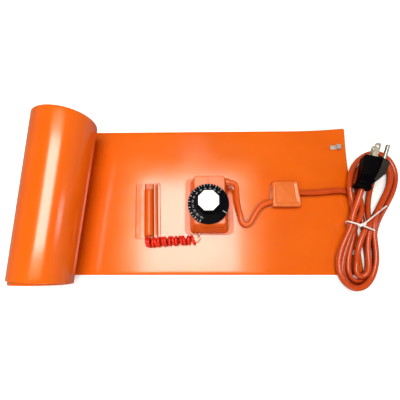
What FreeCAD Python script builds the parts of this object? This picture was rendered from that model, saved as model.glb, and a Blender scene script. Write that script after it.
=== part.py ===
"""Drum heater blanket: a wound silicone rubber sheet that carries a capillary thermostat,
its sensor pocket, the joint cover of its leads, two lacing hooks and a power cord in a hank.

Frame: millimetres, +Z up, +X along the flat sheet towards the cord, +Y across it. The origin
lies on the sheet's underside, straight below the axis of the control knob.
"""

import FreeCAD
import Part
import math
import os
import re

import Sketcher

Vector = FreeCAD.Vector
Rotation = FreeCAD.Rotation
Placement = FreeCAD.Placement
UP = Vector(0, 0, 1)

DOC = FreeCAD.newDocument("drum_heater_blanket")

# Driving sizes, in millimetres and degrees
SIZES = {
    # Sheet
    "sheet_thick": 1.5,
    "sheet_wide": 200.0,
    "sheet_long": 860.0,
    "near_edge": 82.5,
    "right_edge": 194.0,
    "sheet_corner": 3.0,
    # Corner of the sheet that has curled up
    "curl_lift": 6.5,
    "curl_long": 74.0,
    "curl_wide": 72.0,
    # Roll at the left end of the sheet
    "roll_near_at": 189.3,
    "roll_far_at": 185.0,
    "roll_near_radius": 35.2,
    "roll_far_radius": 40.6,
    "roll_pitch": 2.4,
    "roll_shift": 9.4,
    # Thermostat housing
    "housing_at": 1.5,
    "housing_up": 6.2,
    "foot_wide": 50.0,
    "foot_deep": 73.6,
    "foot_corner": 6.0,
    "roof_wide": 38.4,
    "roof_deep": 61.0,
    "roof_corner": 3.4,
    "roof_height": 36.5,
    "roof_bevel": 1.2,
    "flange_wide": 64.0,
    "flange_deep": 76.0,
    "flange_corner": 7.0,
    "flange_thick": 1.6,
    "housing_wall": 2.4,
    "groove_aside": 4.5,
    "groove_wide": 25.0,
    "groove_high": 2.0,
    "groove_deep": 1.4,
    "groove_low": 5.0,
    "groove_spacing": 9.0,
    "index_long": 10.0,
    "index_wide": 0.6,
    "index_high": 0.5,
    # Thermostat inside the housing
    "plate_wide": 26.0,
    "plate_deep": 42.0,
    "plate_thick": 1.2,
    "switch_wide": 24.0,
    "switch_deep": 34.0,
    "switch_high": 18.0,
    "capsule_radius": 9.5,
    "capsule_high": 3.2,
    "terminal_wide": 6.3,
    "terminal_thick": 0.8,
    "terminal_long": 8.0,
    "terminal_spacing": 12.0,
    "shaft_radius": 3.0,
    "shaft_top": 50.5,
    "shaft_flat": 1.5,
    "bush_radius": 5.0,
    "bush_stand": 0.5,
    "screw_radius": 2.0,
    "screw_head": 3.5,
    "screw_head_high": 1.4,
    "screw_spacing": 28.0,
    "running_gap": 0.05,
    "fitting_gap": 0.1,
    # Control knob
    "dial_radius": 24.65,
    "dial_gap": 0.8,
    "dial_rim": 2.6,
    "dial_rise": 2.0,
    "grip_foot_radius": 14.2,
    "grip_radius": 13.0,
    "knob_height": 18.6,
    "cap_across": 23.2,
    "cap_thick": 1.2,
    "cap_proud": 0.4,
    # Sensor pocket
    "pocket_at": -80.2,
    "pocket_up": 0.8,
    "pocket_turn": 2.9,
    "pocket_wide": 33.5,
    "pocket_long": 74.5,
    "pocket_thick": 1.0,
    "ridge_radius": 5.4,
    "ridge_up": 2.0,
    "ridge_aside": 2.0,
    "ridge_end": 3.0,
    "ridge_far": 5.5,
    "bulb_radius": 3.0,
    "bulb_up": 3.4,
    "bulb_long": 58.0,
    # Capillary
    "neck_radius": 1.2,
    "coil_radius": 6.4,
    "tail_radius": 0.9,
    "tail_aside": -8.0,
    "tail_height": 5.5,
    # Leads
    "lead_radius": 3.5,
    "lead_up": 33.0,
    "lead_height": 21.0,
    "grommet_radius": 5.8,
    "grommet_proud": 2.5,
    "grommet_wall": 1.2,
    "grommet_neck": 3.5,
    "boss_in": 1.3,
    "boss_long": 2.9,
    # Joint cover
    "cover_at": 103.7,
    "cover_up": 21.2,
    "cover_near_wide": 38.0,
    "cover_far_wide": 34.0,
    "cover_deep": 34.5,
    "cover_high": 9.0,
    "cover_corner": 3.5,
    "cover_rim": 3.2,
    "cover_dish": 1.0,
    # Lacing hooks
    "hook_in": 13.0,
    "hook_edge": 27.5,
    "hook_wide": 6.0,
    "hook_long": 13.0,
    "hook_thick": 0.8,
    "hook_radius": 2.4,
    "rivet_radius": 1.5,
    "rivet_head": 2.8,
    "rivet_head_high": 1.1,
    "rivet_at": 4.0,
    "washer_radius": 3.8,
    "washer_thick": 0.5,
    # Hank of the power cord
    "soft_gap": 0.3,
    "upper_high": 9.0,
    "lower_high": 15.5,
    "hook_room": 9.0,
    "tie_at": 193.0,
    "tie_up": -22.5,
    "tie_turn": -15.5,
    "tie_wide": 37.0,
    "tie_high": 17.6,
    "tie_radius": 0.8,
    "tie_knot": 2.4,
    "tie_tail": 40.0,
    "tie_tail_turn": 51.0,
    # Plug
    "plug_at": 195.3,
    "plug_up": 23.0,
    "plug_height": 22.0,
    "plug_turn": 18.2,
    "plug_tilt": 12.0,
    "plug_roll": 12.0,
    "plug_long": 41.5,
    "blade_aside": 2.1,
    "blade_wide": 6.35,
    "blade_thick": 1.5,
    "blade_long": 18.5,
    "blade_spacing": 12.7,
    "blade_hole": 1.6,
    "blade_bevel": 1.4,
    "earth_aside": 12.3,
    "earth_radius": 2.4,
    "earth_long": 21.0,
}

sheet = DOC.addObject("Spreadsheet::Sheet", "Sizes")
for row, (alias, value) in enumerate(SIZES.items(), 1):
    sheet.set(f"A{row}", alias)
    sheet.set(f"B{row}", str(value))
    sheet.setAlias(f"B{row}", alias)
DOC.recompute()


def size(alias):
    """The value of one cell of the sheet of sizes."""
    return float(sheet.get(alias))


def cells(expression):
    """An expression in the sheet's words, with each word as a reference to its cell."""
    return re.sub(r"[a-z]+_[a-z_]+", r"Sizes.\g<0>", expression)


def bind(thing, **sizes):
    """Ties properties to expressions; two underscores stand for the dot of a sub-property."""
    for name, expression in sizes.items():
        thing.setExpression(name.replace("__", "."), cells(expression))


def bind_spot(thing, x="0", y="0", z="0", offset=False):
    """Ties a placement's base, or an attachment's offset, to expressions."""
    holder = "AttachmentOffset" if offset else "Placement"
    for axis, expression in (("x", x), ("y", y), ("z", z)):
        thing.setExpression(f"{holder}.Base.{axis}", cells(expression))


SUB_PARTS = []


def sub_part(thing, label):
    """Labels a finished sub-part and keeps it for export."""
    thing.Label = label
    SUB_PARTS.append(thing)
    return thing


def new_body(name):
    return DOC.addObject("PartDesign::Body", name)


def origin_plane(body, role):
    return next(f for f in body.Origin.OriginFeatures if f.Role == role)


def new_sketch(body, name, role="XY_Plane", x="0", y="0", z="0"):
    """An empty sketch on one of its body's origin planes, moved by expressions."""
    sketch = body.newObject("Sketcher::SketchObject", name)
    sketch.AttachmentSupport = [(origin_plane(body, role), "")]
    sketch.MapMode = "FlatFace"
    bind_spot(sketch, x, y, z, offset=True)
    return sketch


def constrain(sketch, kind, places, expression):
    """Adds a dimension to a sketch and ties it to an expression."""
    number = sketch.addConstraint(Sketcher.Constraint(kind, *places, 5.0))
    sketch.setExpression(f"Constraints[{number}]", cells(expression))


def rounded_sketch(body, name, wide, deep, corner, **place):
    """A rectangle with round corners, centred on the sketch's origin."""
    sketch = new_sketch(body, name, **place)
    for side in range(4):
        turn = Rotation(UP, 90 * side)
        start, end = turn.multVec(Vector(-2, -3, 0)), turn.multVec(Vector(2, -3, 0))
        sketch.addGeometry(Part.LineSegment(start, end), False)
        ring = Part.Circle(turn.multVec(Vector(2, -2, 0)), UP, 1)
        first = math.radians(90 * side - 90)
        sketch.addGeometry(Part.ArcOfCircle(ring, first, first + math.pi / 2), False)
    for line in range(0, 8, 2):
        sketch.addConstraint(Sketcher.Constraint("Tangent", line, 2, line + 1, 1))
        sketch.addConstraint(Sketcher.Constraint("Tangent", line + 1, 2, (line + 2) % 8, 1))
    for arc in (3, 5, 7):
        sketch.addConstraint(Sketcher.Constraint("Equal", 1, arc))
    for line, lie in ((0, "Horizontal"), (2, "Vertical"), (4, "Horizontal"), (6, "Vertical")):
        sketch.addConstraint(Sketcher.Constraint(lie, line))
    sketch.addConstraint(Sketcher.Constraint("Symmetric", 0, 1, 4, 1, -1, 1))
    constrain(sketch, "DistanceX", (6, 1, 2, 1), wide)
    constrain(sketch, "DistanceY", (0, 1, 4, 1), deep)
    constrain(sketch, "Radius", (1,), corner)
    return sketch


def circle_sketch(body, name, radius, **place):
    sketch = new_sketch(body, name, **place)
    sketch.addGeometry(Part.Circle(Vector(0, 0, 0), UP, 1), False)
    sketch.addConstraint(Sketcher.Constraint("Coincident", 0, 3, -1, 1))
    constrain(sketch, "Radius", (0,), radius)
    return sketch


def pad(body, name, sketch, length, both_ways=False):
    feature = body.newObject("PartDesign::Pad", name)
    feature.Profile = sketch
    bind(feature, Length=length)
    feature.Midplane = both_ways
    return feature


def pocket(body, name, sketch, length, towards_top=False):
    feature = body.newObject("PartDesign::Pocket", name)
    feature.Profile = sketch
    bind(feature, Length=length)
    feature.Reversed = towards_top
    return feature


def loft(body, name, sketches, cut=False):
    kind = "PartDesign::SubtractiveLoft" if cut else "PartDesign::AdditiveLoft"
    feature = body.newObject(kind, name)
    feature.Profile = sketches[0]
    feature.Sections = sketches[1:]
    feature.Ruled = True
    return feature


def primitive(body, kind, name, x="0", y="0", z="0", **sizes):
    """A box or cylinder that adds to a body or cuts it, at a corner or centre of its foot."""
    feature = body.newObject(f"PartDesign::{kind}", name)
    feature.AttachmentSupport = [(origin_plane(body, "XY_Plane"), "")]
    feature.MapMode = "FlatFace"
    bind(feature, **sizes)
    bind_spot(feature, x, y, z, offset=True)
    return feature


def polygon_sketch(body, name, corners, **place):
    """A closed outline of straight sides; each corner is a pair of expressions."""
    sketch = new_sketch(body, name, **place)
    count = len(corners)
    spots = [Vector(math.cos(k), math.sin(k), 0) for k in range(count)]
    for k in range(count):
        sketch.addGeometry(Part.LineSegment(spots[k], spots[(k + 1) % count]), False)
    for k in range(count):
        sketch.addConstraint(Sketcher.Constraint("Coincident", k, 2, (k + 1) % count, 1))
    for k, (across, along) in enumerate(corners):
        constrain(sketch, "DistanceX", (-1, 1, k, 1), across)
        constrain(sketch, "DistanceY", (-1, 1, k, 1), along)
    return sketch


# Heights of the main levels above the surface that the sheet lies on
ROOF = "(sheet_thick + roof_height)"
UNDER_PLATE = "(sheet_thick + roof_height - housing_wall - plate_thick)"
DIAL_FOOT = "(sheet_thick + roof_height + dial_gap)"
# The housing's wall where its lead leaves it, from the housing's middle
LEAD_DRAFT = "(foot_wide - roof_wide) / 2 / (roof_height - roof_bevel)"
LEAD_WALL = f"(foot_wide / 2 - {LEAD_DRAFT} * (lead_height - sheet_thick))"


def wound_radius(turn, start_radius):
    """Radius of the roll's outer face, an angle on from the line where the sheet leaves the flat."""
    return start_radius - size("roll_pitch") * (turn - math.sin(turn)) / (2 * math.pi)


def wound_length(turn):
    """Length of sheet wound up to an angle, along its middle."""
    middle = (size("roll_near_radius") + size("roll_far_radius") - size("sheet_thick")) / 2
    drawn_in = size("roll_pitch") * (turn**2 / 2 + math.cos(turn) - 1) / (2 * math.pi)
    return middle * turn - drawn_in


def full_turn():
    """The angle through which the rest of the sheet winds, from its whole length."""
    flat = size("right_edge") + (size("roll_near_at") + size("roll_far_at")) / 2
    low, high = 0.0, 8 * math.pi
    for _ in range(50):
        middle = (low + high) / 2
        if wound_length(middle) < size("sheet_long") - flat:
            low = middle
        else:
            high = middle
    return low


def sheet_curve(far, inset):
    """One long edge of the roll: near or far, on the outer face or the given inset inside it."""
    near_y = -size("near_edge")
    foot_near = Vector(-size("roll_near_at"), near_y, 0)
    foot_far = Vector(-size("roll_far_at"), near_y + size("sheet_wide"), 0)
    along = (foot_far - foot_near).normalize()
    foot = foot_far if far else foot_near
    start = size("roll_far_radius" if far else "roll_near_radius")
    steps = math.ceil(full_turn() / math.radians(12))
    turns = [full_turn() * k / steps for k in range(steps + 1)]
    points = []
    for turn in turns:
        reach = wound_radius(turn, start) - inset
        out = Vector(-math.sin(turn), 0, -math.cos(turn)) * reach
        shift = -size("roll_shift") * math.sin(min(turn, 2 * math.pi) / 4)
        points.append(foot + Vector(0, 0, start) + along * shift + out)
    curve = Part.BSplineCurve()
    curve.interpolate(Points=points, Parameters=turns)
    return curve.toShape()


def polygon_face(*points):
    return Part.Face(Part.makePolygon([*points, points[0]]))


def curl_face(low_x, high_x, low_y, high_y, height):
    """The curled corner's face at one height: flat along two sides and lifted at one corner."""
    surface = Part.BezierSurface()
    surface.increase(2, 2)
    for i in range(3):
        for j in range(3):
            lift = size("curl_lift") if i == j == 2 else 0.0
            x, y = low_x + (high_x - low_x) * i / 2, low_y + (high_y - low_y) * j / 2
            surface.setPole(i + 1, j + 1, Vector(x, y, height + lift))
    return surface.toShape()


def curl_edge(start, end, height):
    """An edge that runs level from its start and curves up to the lifted corner."""
    curve = Part.BezierCurve()
    lifted = end + Vector(0, 0, size("curl_lift"))
    poles = [start, (start + end) * 0.5, lifted]
    curve.setPoles([pole + Vector(0, 0, height) for pole in poles])
    return curve.toShape()


def sheet_spot(x, y):
    """The place on the sheet's top face at x, y, with its normal, as a placement."""
    along = max(0.0, (x - size("right_edge")) / size("curl_long") + 1)
    far_edge = size("sheet_wide") - size("near_edge")
    across = max(0.0, (y - far_edge) / size("curl_wide") + 1)
    lift = size("curl_lift")
    slope_x = 2 * lift * along * across**2 / size("curl_long")
    slope_y = 2 * lift * along**2 * across / size("curl_wide")
    height = size("sheet_thick") + lift * along**2 * across**2
    tilt = Rotation(UP, Vector(-slope_x, -slope_y, 1))
    return Placement(Vector(x, y, height), tilt)


def hook_spots():
    """Where the two hooks stand, a fitting's gap above the sheet, near one first."""
    x = size("right_edge") - size("hook_in")
    near_y = size("hook_edge") - size("near_edge")
    far_y = size("sheet_wide") - size("near_edge") - size("hook_edge")
    above = Placement(Vector(0, 0, size("fitting_gap")), Rotation())
    return [sheet_spot(x, y).multiply(above) for y in (near_y, far_y)]


def rivet_spot(spot):
    """The rivet's place in a hook's foot, on the sheet's top face."""
    return spot.multiply(Placement(Vector(-size("rivet_at"), 0, 0), Rotation()))


def corner_tool(x, y, side):
    """What is left of a square corner of the sheet outside its rounding."""
    corner, deep = size("sheet_corner"), 4 * size("curl_lift")
    low_y = min(y - side * corner, y + side)
    block = Part.makeBox(corner + 1, corner + 1, deep, Vector(x - corner, low_y, -deep / 2))
    post = Part.makeCylinder(corner, deep, Vector(x - corner, y - side * corner, -deep / 2))
    return block.cut(post)


def make_sheet():
    """The heated sheet: one strip of rubber, flat at the right and wound into a roll at the left."""
    thick = size("sheet_thick")
    near, far = -size("near_edge"), size("sheet_wide") - size("near_edge")
    right = size("right_edge")
    low_x, low_y = right - size("curl_long"), far - size("curl_wide")
    roll_near, roll_far = -size("roll_near_at"), -size("roll_far_at")
    outline = [(roll_near, near), (right, near), (right, low_y), (low_x, low_y), (low_x, far)]
    outline.append((roll_far, far))
    faces = []
    for height in (0.0, thick):
        faces.append(polygon_face(*[Vector(x, y, height) for x, y in outline]))
        faces.append(curl_face(low_x, right, low_y, far, height))
        outer_near, outer_far = sheet_curve(False, height), sheet_curve(True, height)
        faces.append(Part.makeRuledSurface(outer_near, outer_far))
    for first in (0, 1, 4):
        (x, y), (to_x, to_y) = outline[first], outline[first + 1]
        low = [Vector(x, y, 0), Vector(to_x, to_y, 0)]
        faces.append(polygon_face(*low, low[1] + UP * thick, low[0] + UP * thick))
    corner = Vector(right, far, 0)
    for start in (Vector(right, low_y, 0), Vector(low_x, far, 0)):
        bottom, top = curl_edge(start, corner, 0.0), curl_edge(start, corner, thick)
        faces.append(Part.makeRuledSurface(bottom, top))
    ends = []
    for is_far in (False, True):
        outer, inner = sheet_curve(is_far, 0.0), sheet_curve(is_far, thick)
        faces.append(Part.makeRuledSurface(outer, inner))
        tips = [curve.valueAt(curve.LastParameter) for curve in (outer, inner)]
        ends.append(Part.makeLine(*tips))
    faces.append(Part.makeRuledSurface(*ends))
    shell = Part.makeShell(faces)
    shell.sewShape()
    solid = Part.makeSolid(shell)
    if solid.Volume < 0:
        solid.reverse()
    for edge_y, side in ((near, -1), (far, 1)):
        solid = solid.cut(corner_tool(right, edge_y, side))
    for spot in hook_spots():
        place = rivet_spot(spot)
        shank = Part.makeCylinder(size("rivet_radius"), 4 * thick, Vector(0, 0, -2 * thick))
        seat = Part.makeCylinder(size("washer_radius"), 2 * thick, Vector(0, 0, -3 * thick))
        seat.translate(Vector(0, 0, size("washer_thick")))
        for tool in (shank, seat):
            tool.Placement = place.multiply(tool.Placement)
            solid = solid.cut(tool)
    return solid


def shape_feature(label, shape, place=None):
    """A sub-part whose shape is worked out here from the sheet's cells."""
    feature = DOC.addObject("Part::Feature", label)
    feature.Shape = shape
    if place is not None:
        feature.Placement = place
    return sub_part(feature, label)


def make_housing():
    """The moulded cover: drafted walls on a bonding flange, hollow from below."""
    body = new_body("Housing")
    bind_spot(body, "housing_at", "housing_up", "sheet_thick")
    foot = rounded_sketch(body, "Foot", "foot_wide", "foot_deep", "foot_corner")
    shoulder = rounded_sketch(
        body, "Shoulder", "roof_wide", "roof_deep", "roof_corner", z="roof_height - roof_bevel"
    )
    roof = rounded_sketch(
        body,
        "Roof",
        "roof_wide - 2 * roof_bevel",
        "roof_deep - 2 * roof_bevel",
        "roof_corner - roof_bevel",
        z="roof_height",
    )
    loft(body, "Walls", [foot, shoulder, roof])
    flange = rounded_sketch(body, "FlangeOutline", "flange_wide", "flange_deep", "flange_corner")
    pad(body, "Flange", flange, "flange_thick")
    inner = [("FootInside", "foot", "0"), ("RoofInside", "roof", "roof_height - housing_wall")]
    hollow = [
        rounded_sketch(
            body,
            name,
            f"{level}_wide - 2 * housing_wall",
            f"{level}_deep - 2 * housing_wall",
            f"{level}_corner - roof_bevel",
            z=height,
        )
        for name, level, height in inner
    ]
    loft(body, "Hollow", hollow, cut=True)
    slope = "(foot_deep - roof_deep) / 2 / (roof_height - roof_bevel)"
    for number in range(3):
        low = f"(groove_low + {number} * groove_spacing)"
        primitive(
            body,
            "SubtractiveBox",
            f"Groove{number + 1}",
            x="groove_aside - groove_wide / 2",
            y="-foot_deep / 2 - groove_deep",
            z=low,
            Length="groove_wide",
            Width=f"{low} * {slope} + 2 * groove_deep",
            Height="groove_high",
        )
    primitive(
        body,
        "SubtractiveCylinder",
        "BushHole",
        x="-housing_at",
        y="-housing_up",
        z="roof_height - 2 * housing_wall",
        Radius="bush_radius + fitting_gap",
        Height="3 * housing_wall",
    )
    for name, side in (("Near", "-"), ("Far", "+")):
        along = f"-housing_up {side} screw_spacing / 2"
        primitive(
            body,
            "SubtractiveCylinder",
            f"ScrewHole{name}",
            x="-housing_at",
            y=along,
            z="roof_height - 2 * housing_wall",
            Radius="screw_radius + fitting_gap",
            Height="3 * housing_wall",
        )
        primitive(
            body,
            "SubtractiveCylinder",
            f"ScrewSeat{name}",
            x="-housing_at",
            y=along,
            z="roof_height - screw_head_high",
            Radius="screw_head + fitting_gap",
            Height="housing_wall",
        )
    primitive(
        body,
        "AdditiveBox",
        "IndexRib",
        x="-housing_at - index_wide / 2",
        y="roof_deep / 2 - roof_bevel - index_long",
        z="roof_height - index_high",
        Length="index_wide",
        Width="index_long",
        Height="2 * index_high",
    )
    boss = circle_sketch(
        body,
        "LeadBossOutline",
        "grommet_radius",
        role="YZ_Plane",
        x="lead_up - housing_up",
        y="lead_height - sheet_thick",
        z=f"{LEAD_WALL} - boss_in",
    )
    pad(body, "LeadBoss", boss, "boss_long")
    exit_hole = circle_sketch(
        body,
        "LeadHoleOutline",
        "lead_radius + grommet_wall",
        role="YZ_Plane",
        x="lead_up - housing_up",
        y="lead_height - sheet_thick",
    )
    pocket(body, "LeadHole", exit_hole, "foot_wide", towards_top=True)
    entry = circle_sketch(
        body,
        "TailHoleOutline",
        "tail_radius + fitting_gap",
        role="XZ_Plane",
        x="tail_aside - housing_at",
        y="tail_height - sheet_thick",
    )
    pocket(body, "TailHole", entry, "foot_deep", towards_top=True)
    return sub_part(body, "thermostat_housing")


def make_thermostat():
    """The capillary thermostat that hangs from its plate under the roof of the housing."""
    plate = new_body("Plate")
    bind_spot(plate, z=UNDER_PLATE)
    outline = rounded_sketch(plate, "PlateOutline", "plate_wide", "plate_deep", "screw_radius")
    pad(plate, "PlatePad", outline, "plate_thick")
    holes = [("BushSeat", "0", "bush_radius")]
    holes += [("ThreadNear", "-screw_spacing / 2", "screw_radius")]
    holes += [("ThreadFar", "screw_spacing / 2", "screw_radius")]
    for name, along, radius in holes:
        primitive(
            plate,
            "SubtractiveCylinder",
            name,
            y=along,
            z="-plate_thick",
            Radius=radius,
            Height="3 * plate_thick",
        )
    sub_part(plate, "thermostat_plate")

    switch = new_body("Switch")
    bind_spot(switch, z=f"{UNDER_PLATE} - switch_high")
    outline = rounded_sketch(switch, "SwitchOutline", "switch_wide", "switch_deep", "screw_radius")
    pad(switch, "SwitchPad", outline, "switch_high")
    primitive(
        switch,
        "SubtractiveCylinder",
        "ShaftBore",
        z="switch_high / 2",
        Radius="shaft_radius + running_gap",
        Height="switch_high",
    )
    sub_part(switch, "thermostat_switch")

    capsule = DOC.addObject("Part::Cylinder", "Capsule")
    bind(capsule, Radius="capsule_radius", Height="capsule_high")
    bind_spot(capsule, z=f"{UNDER_PLATE} - switch_high - capsule_high")
    sub_part(capsule, "thermostat_capsule")

    blades = []
    for name, side in (("TerminalLeft", "-"), ("TerminalRight", "+")):
        blade = DOC.addObject("Part::Box", name)
        bind(blade, Length="terminal_wide", Width="terminal_thick", Height="terminal_long")
        bind_spot(
            blade,
            f"{side}terminal_spacing / 2 - terminal_wide / 2",
            "switch_deep / 2 - 3 * terminal_thick",
            f"{UNDER_PLATE} - switch_high - terminal_long",
        )
        blades.append(blade)
    pair = DOC.addObject("Part::Compound", "Terminals")
    pair.Links = blades
    sub_part(pair, "thermostat_terminals")

    bush = new_body("Bush")
    bind_spot(bush, z=UNDER_PLATE)
    primitive(
        bush,
        "AdditiveCylinder",
        "BushTube",
        Radius="bush_radius",
        Height="plate_thick + housing_wall + bush_stand",
    )
    primitive(
        bush,
        "SubtractiveCylinder",
        "BushBore",
        z="-plate_thick",
        Radius="shaft_radius + running_gap",
        Height="2 * bush_radius + 2 * plate_thick",
    )
    sub_part(bush, "shaft_bush")

    screws = []
    for name, side in (("ScrewNear", "-"), ("ScrewFar", "+")):
        shank = DOC.addObject("Part::Cylinder", name + "Shank")
        bind(shank, Radius="screw_radius", Height="housing_wall + plate_thick - screw_head_high")
        head = DOC.addObject("Part::Cylinder", name + "Head")
        bind(head, Radius="screw_head", Height="screw_head_high")
        along = f"{side}screw_spacing / 2"
        bind_spot(shank, "0", along, UNDER_PLATE)
        bind_spot(head, "0", along, f"{ROOF} - screw_head_high")
        screw = DOC.addObject("Part::Fuse", name)
        screw.Base, screw.Tool = head, shank
        screws.append(screw)
    pair = DOC.addObject("Part::Compound", "Screws")
    pair.Links = screws
    sub_part(pair, "housing_screws")


def make_knob():
    """The turning pieces: shaft, moulded knob with its dial skirt, and the cap on the grip."""
    shaft = new_body("Shaft")
    bind_spot(shaft, z=f"{UNDER_PLATE} - switch_high / 2 + terminal_thick")
    length = f"shaft_top - {UNDER_PLATE} + switch_high / 2 - terminal_thick"
    primitive(
        shaft, "AdditiveCylinder", "ShaftRod", Radius="shaft_radius", Height=length
    )
    primitive(
        shaft,
        "SubtractiveBox",
        "ShaftFlat",
        x="-shaft_radius",
        y="shaft_radius - shaft_flat",
        z=f"{DIAL_FOOT} - {UNDER_PLATE} + switch_high / 2",
        Length="2 * shaft_radius",
        Width="shaft_radius",
        Height="shaft_top",
    )
    sub_part(shaft, "control_shaft")

    knob = new_body("Knob")
    bind_spot(knob, z=DIAL_FOOT)
    profile = polygon_sketch(
        knob,
        "SkirtProfile",
        [
            ("0", "0"),
            ("2 * shaft_radius", "0"),
            ("2 * shaft_radius", "dial_rim * 0.6"),
            ("dial_radius - dial_rim", "dial_rim * 0.6"),
            ("dial_radius - dial_rim * 0.8", "0"),
            ("dial_radius", "0"),
            ("dial_radius", "dial_rim"),
            ("grip_foot_radius", "dial_rim + dial_rise"),
            ("0", "dial_rim + dial_rise"),
        ],
        role="XZ_Plane",
    )
    skirt = knob.newObject("PartDesign::Revolution", "Skirt")
    skirt.Profile = profile
    skirt.ReferenceAxis = (profile, ["V_Axis"])
    skirt.Angle = 360
    grip = primitive(
        knob,
        "AdditivePrism",
        "Grip",
        z="dial_rim",
        Circumradius="grip_radius / cos(22.5)",
        Height="knob_height - dial_rim",
    )
    grip.Polygon = 8
    seat = primitive(
        knob,
        "SubtractivePrism",
        "CapSeat",
        z="knob_height - cap_thick + cap_proud",
        Circumradius="cap_across / 2 / cos(22.5) + fitting_gap",
        Height="2 * cap_thick",
    )
    seat.Polygon = 8
    primitive(
        knob,
        "SubtractiveCylinder",
        "ShaftSocket",
        z="-dial_gap",
        Radius="shaft_radius + running_gap",
        Height=f"shaft_top - {DIAL_FOOT} + dial_gap + terminal_thick",
    )
    for octagon in (grip, seat):
        octagon.setExpression("AttachmentOffset.Rotation.Angle", "22.5")
    sub_part(knob, "control_knob")

    cap = new_body("Cap")
    bind_spot(cap, z=f"{DIAL_FOOT} + knob_height - cap_thick + cap_proud")
    disc = primitive(
        cap,
        "AdditivePrism",
        "CapDisc",
        Circumradius="cap_across / 2 / cos(22.5)",
        Height="cap_thick",
    )
    disc.Polygon = 8
    disc.setExpression("AttachmentOffset.Rotation.Angle", "22.5")
    sub_part(cap, "knob_cap")


def round_route(points):
    """A wire of straight runs joined by arcs that touch both runs at every turn."""
    edges, radii = [], []
    start = points[0]
    for before, corner, after in zip(points, points[1:], points[2:]):
        arriving, leaving = (corner - before), (after - corner)
        half_turn = arriving.getAngle(leaving) / 2
        trim = 0.45 * min(arriving.Length, leaving.Length)
        arriving.normalize()
        leaving.normalize()
        radii.append(trim / math.tan(half_turn))
        first, last = corner - arriving * trim, corner + leaving * trim
        inward = (leaving - arriving).normalize()
        reach = radii[-1] / math.cos(half_turn) - radii[-1]
        edges.append(Part.LineSegment(start, first).toShape())
        edges.append(Part.Arc(first, corner + inward * reach, last).toShape())
        start = last
    edges.append(Part.LineSegment(start, points[-1]).toShape())
    return Part.Wire(edges), radii


def make_tube(label, route, radius):
    """A round cord along a route, printed with its bend radii and a check of its volume."""
    points = [Vector(*spot) for spot in route]
    path, radii = round_route(points)
    facing = points[1] - points[0]
    ring = Part.Wire([Part.Circle(points[0], facing, radius).toShape()])
    solid = path.makePipeShell([ring], True, False)
    share = solid.Volume / (math.pi * radius**2 * path.Length)
    smallest = ", ".join(f"{bend:.0f}" for bend in radii)
    print(f"{label}: {path.Length:.0f} mm long, radii {smallest}, volume share {share:.3f}")
    return shape_feature(label, solid)


def make_sensor():
    """The sensor bulb in its bonded rubber pocket, turned a little on the sheet."""
    pouch = new_body("Pocket")
    bind_spot(pouch, "pocket_at", "pocket_up", "sheet_thick")
    pouch.setExpression("Placement.Rotation.Angle", cells("pocket_turn"))
    strip = rounded_sketch(pouch, "Strip", "pocket_wide", "pocket_long", "pocket_thick * 2")
    pad(pouch, "StripPad", strip, "pocket_thick")
    from_edge = "ridge_end - pocket_long / 2 + ridge_far"
    ridge = new_sketch(pouch, "Ridge", "XZ_Plane", x="ridge_aside", z=from_edge)
    arch = Part.Circle(Vector(0, 1, 0), UP, 3)
    tilt = math.asin(1 / 3)
    ridge.addGeometry(Part.ArcOfCircle(arch, -tilt, math.pi + tilt), False)
    foot = math.cos(tilt) * 3
    ridge.addGeometry(Part.LineSegment(Vector(-foot, 0, 0), Vector(foot, 0, 0)), False)
    ridge.addConstraint(Sketcher.Constraint("Coincident", 0, 2, 1, 1))
    ridge.addConstraint(Sketcher.Constraint("Coincident", 1, 2, 0, 1))
    ridge.addConstraint(Sketcher.Constraint("Horizontal", 1))
    ridge.addConstraint(Sketcher.Constraint("PointOnObject", 1, 1, -1))
    ridge.addConstraint(Sketcher.Constraint("PointOnObject", 0, 3, -2))
    constrain(ridge, "Radius", (0,), "ridge_radius")
    constrain(ridge, "DistanceY", (-1, 1, 0, 3), "ridge_up")
    pad(pouch, "RidgePad", ridge, "bulb_long + 2 * ridge_end")
    bore = circle_sketch(
        pouch,
        "BulbBore",
        "bulb_radius + fitting_gap",
        role="XZ_Plane",
        x="ridge_aside",
        y="bulb_up",
        z=f"ridge_end + {from_edge}",
    )
    pocket(pouch, "BulbPocket", bore, "bulb_long + 2 * ridge_end", towards_top=True)
    sub_part(pouch, "bulb_pocket")

    pocket_place = Placement(
        Vector(size("pocket_at"), size("pocket_up"), size("sheet_thick")),
        Rotation(UP, size("pocket_turn")),
    )
    bulb = new_body("Bulb")
    rod = circle_sketch(bulb, "BulbOutline", "bulb_radius", role="XZ_Plane")
    pad(bulb, "BulbRod", rod, "bulb_long")
    neck_ring = circle_sketch(bulb, "BulbNeckOutline", "neck_radius", role="XZ_Plane", z="bulb_long")
    pad(bulb, "BulbNeck", neck_ring, "ridge_end")
    height = size("bulb_up")
    far_end = size("pocket_long") / 2 - size("ridge_far") - 2 * size("ridge_end") - size("fitting_gap")
    bulb.Placement = pocket_place.multiply(
        Placement(Vector(size("ridge_aside"), far_end, height), Rotation())
    )
    sub_part(bulb, "sensor_bulb")
    neck_end = far_end - size("bulb_long") - size("ridge_end")
    return pocket_place.multVec(Vector(size("ridge_aside"), neck_end, height))


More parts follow.
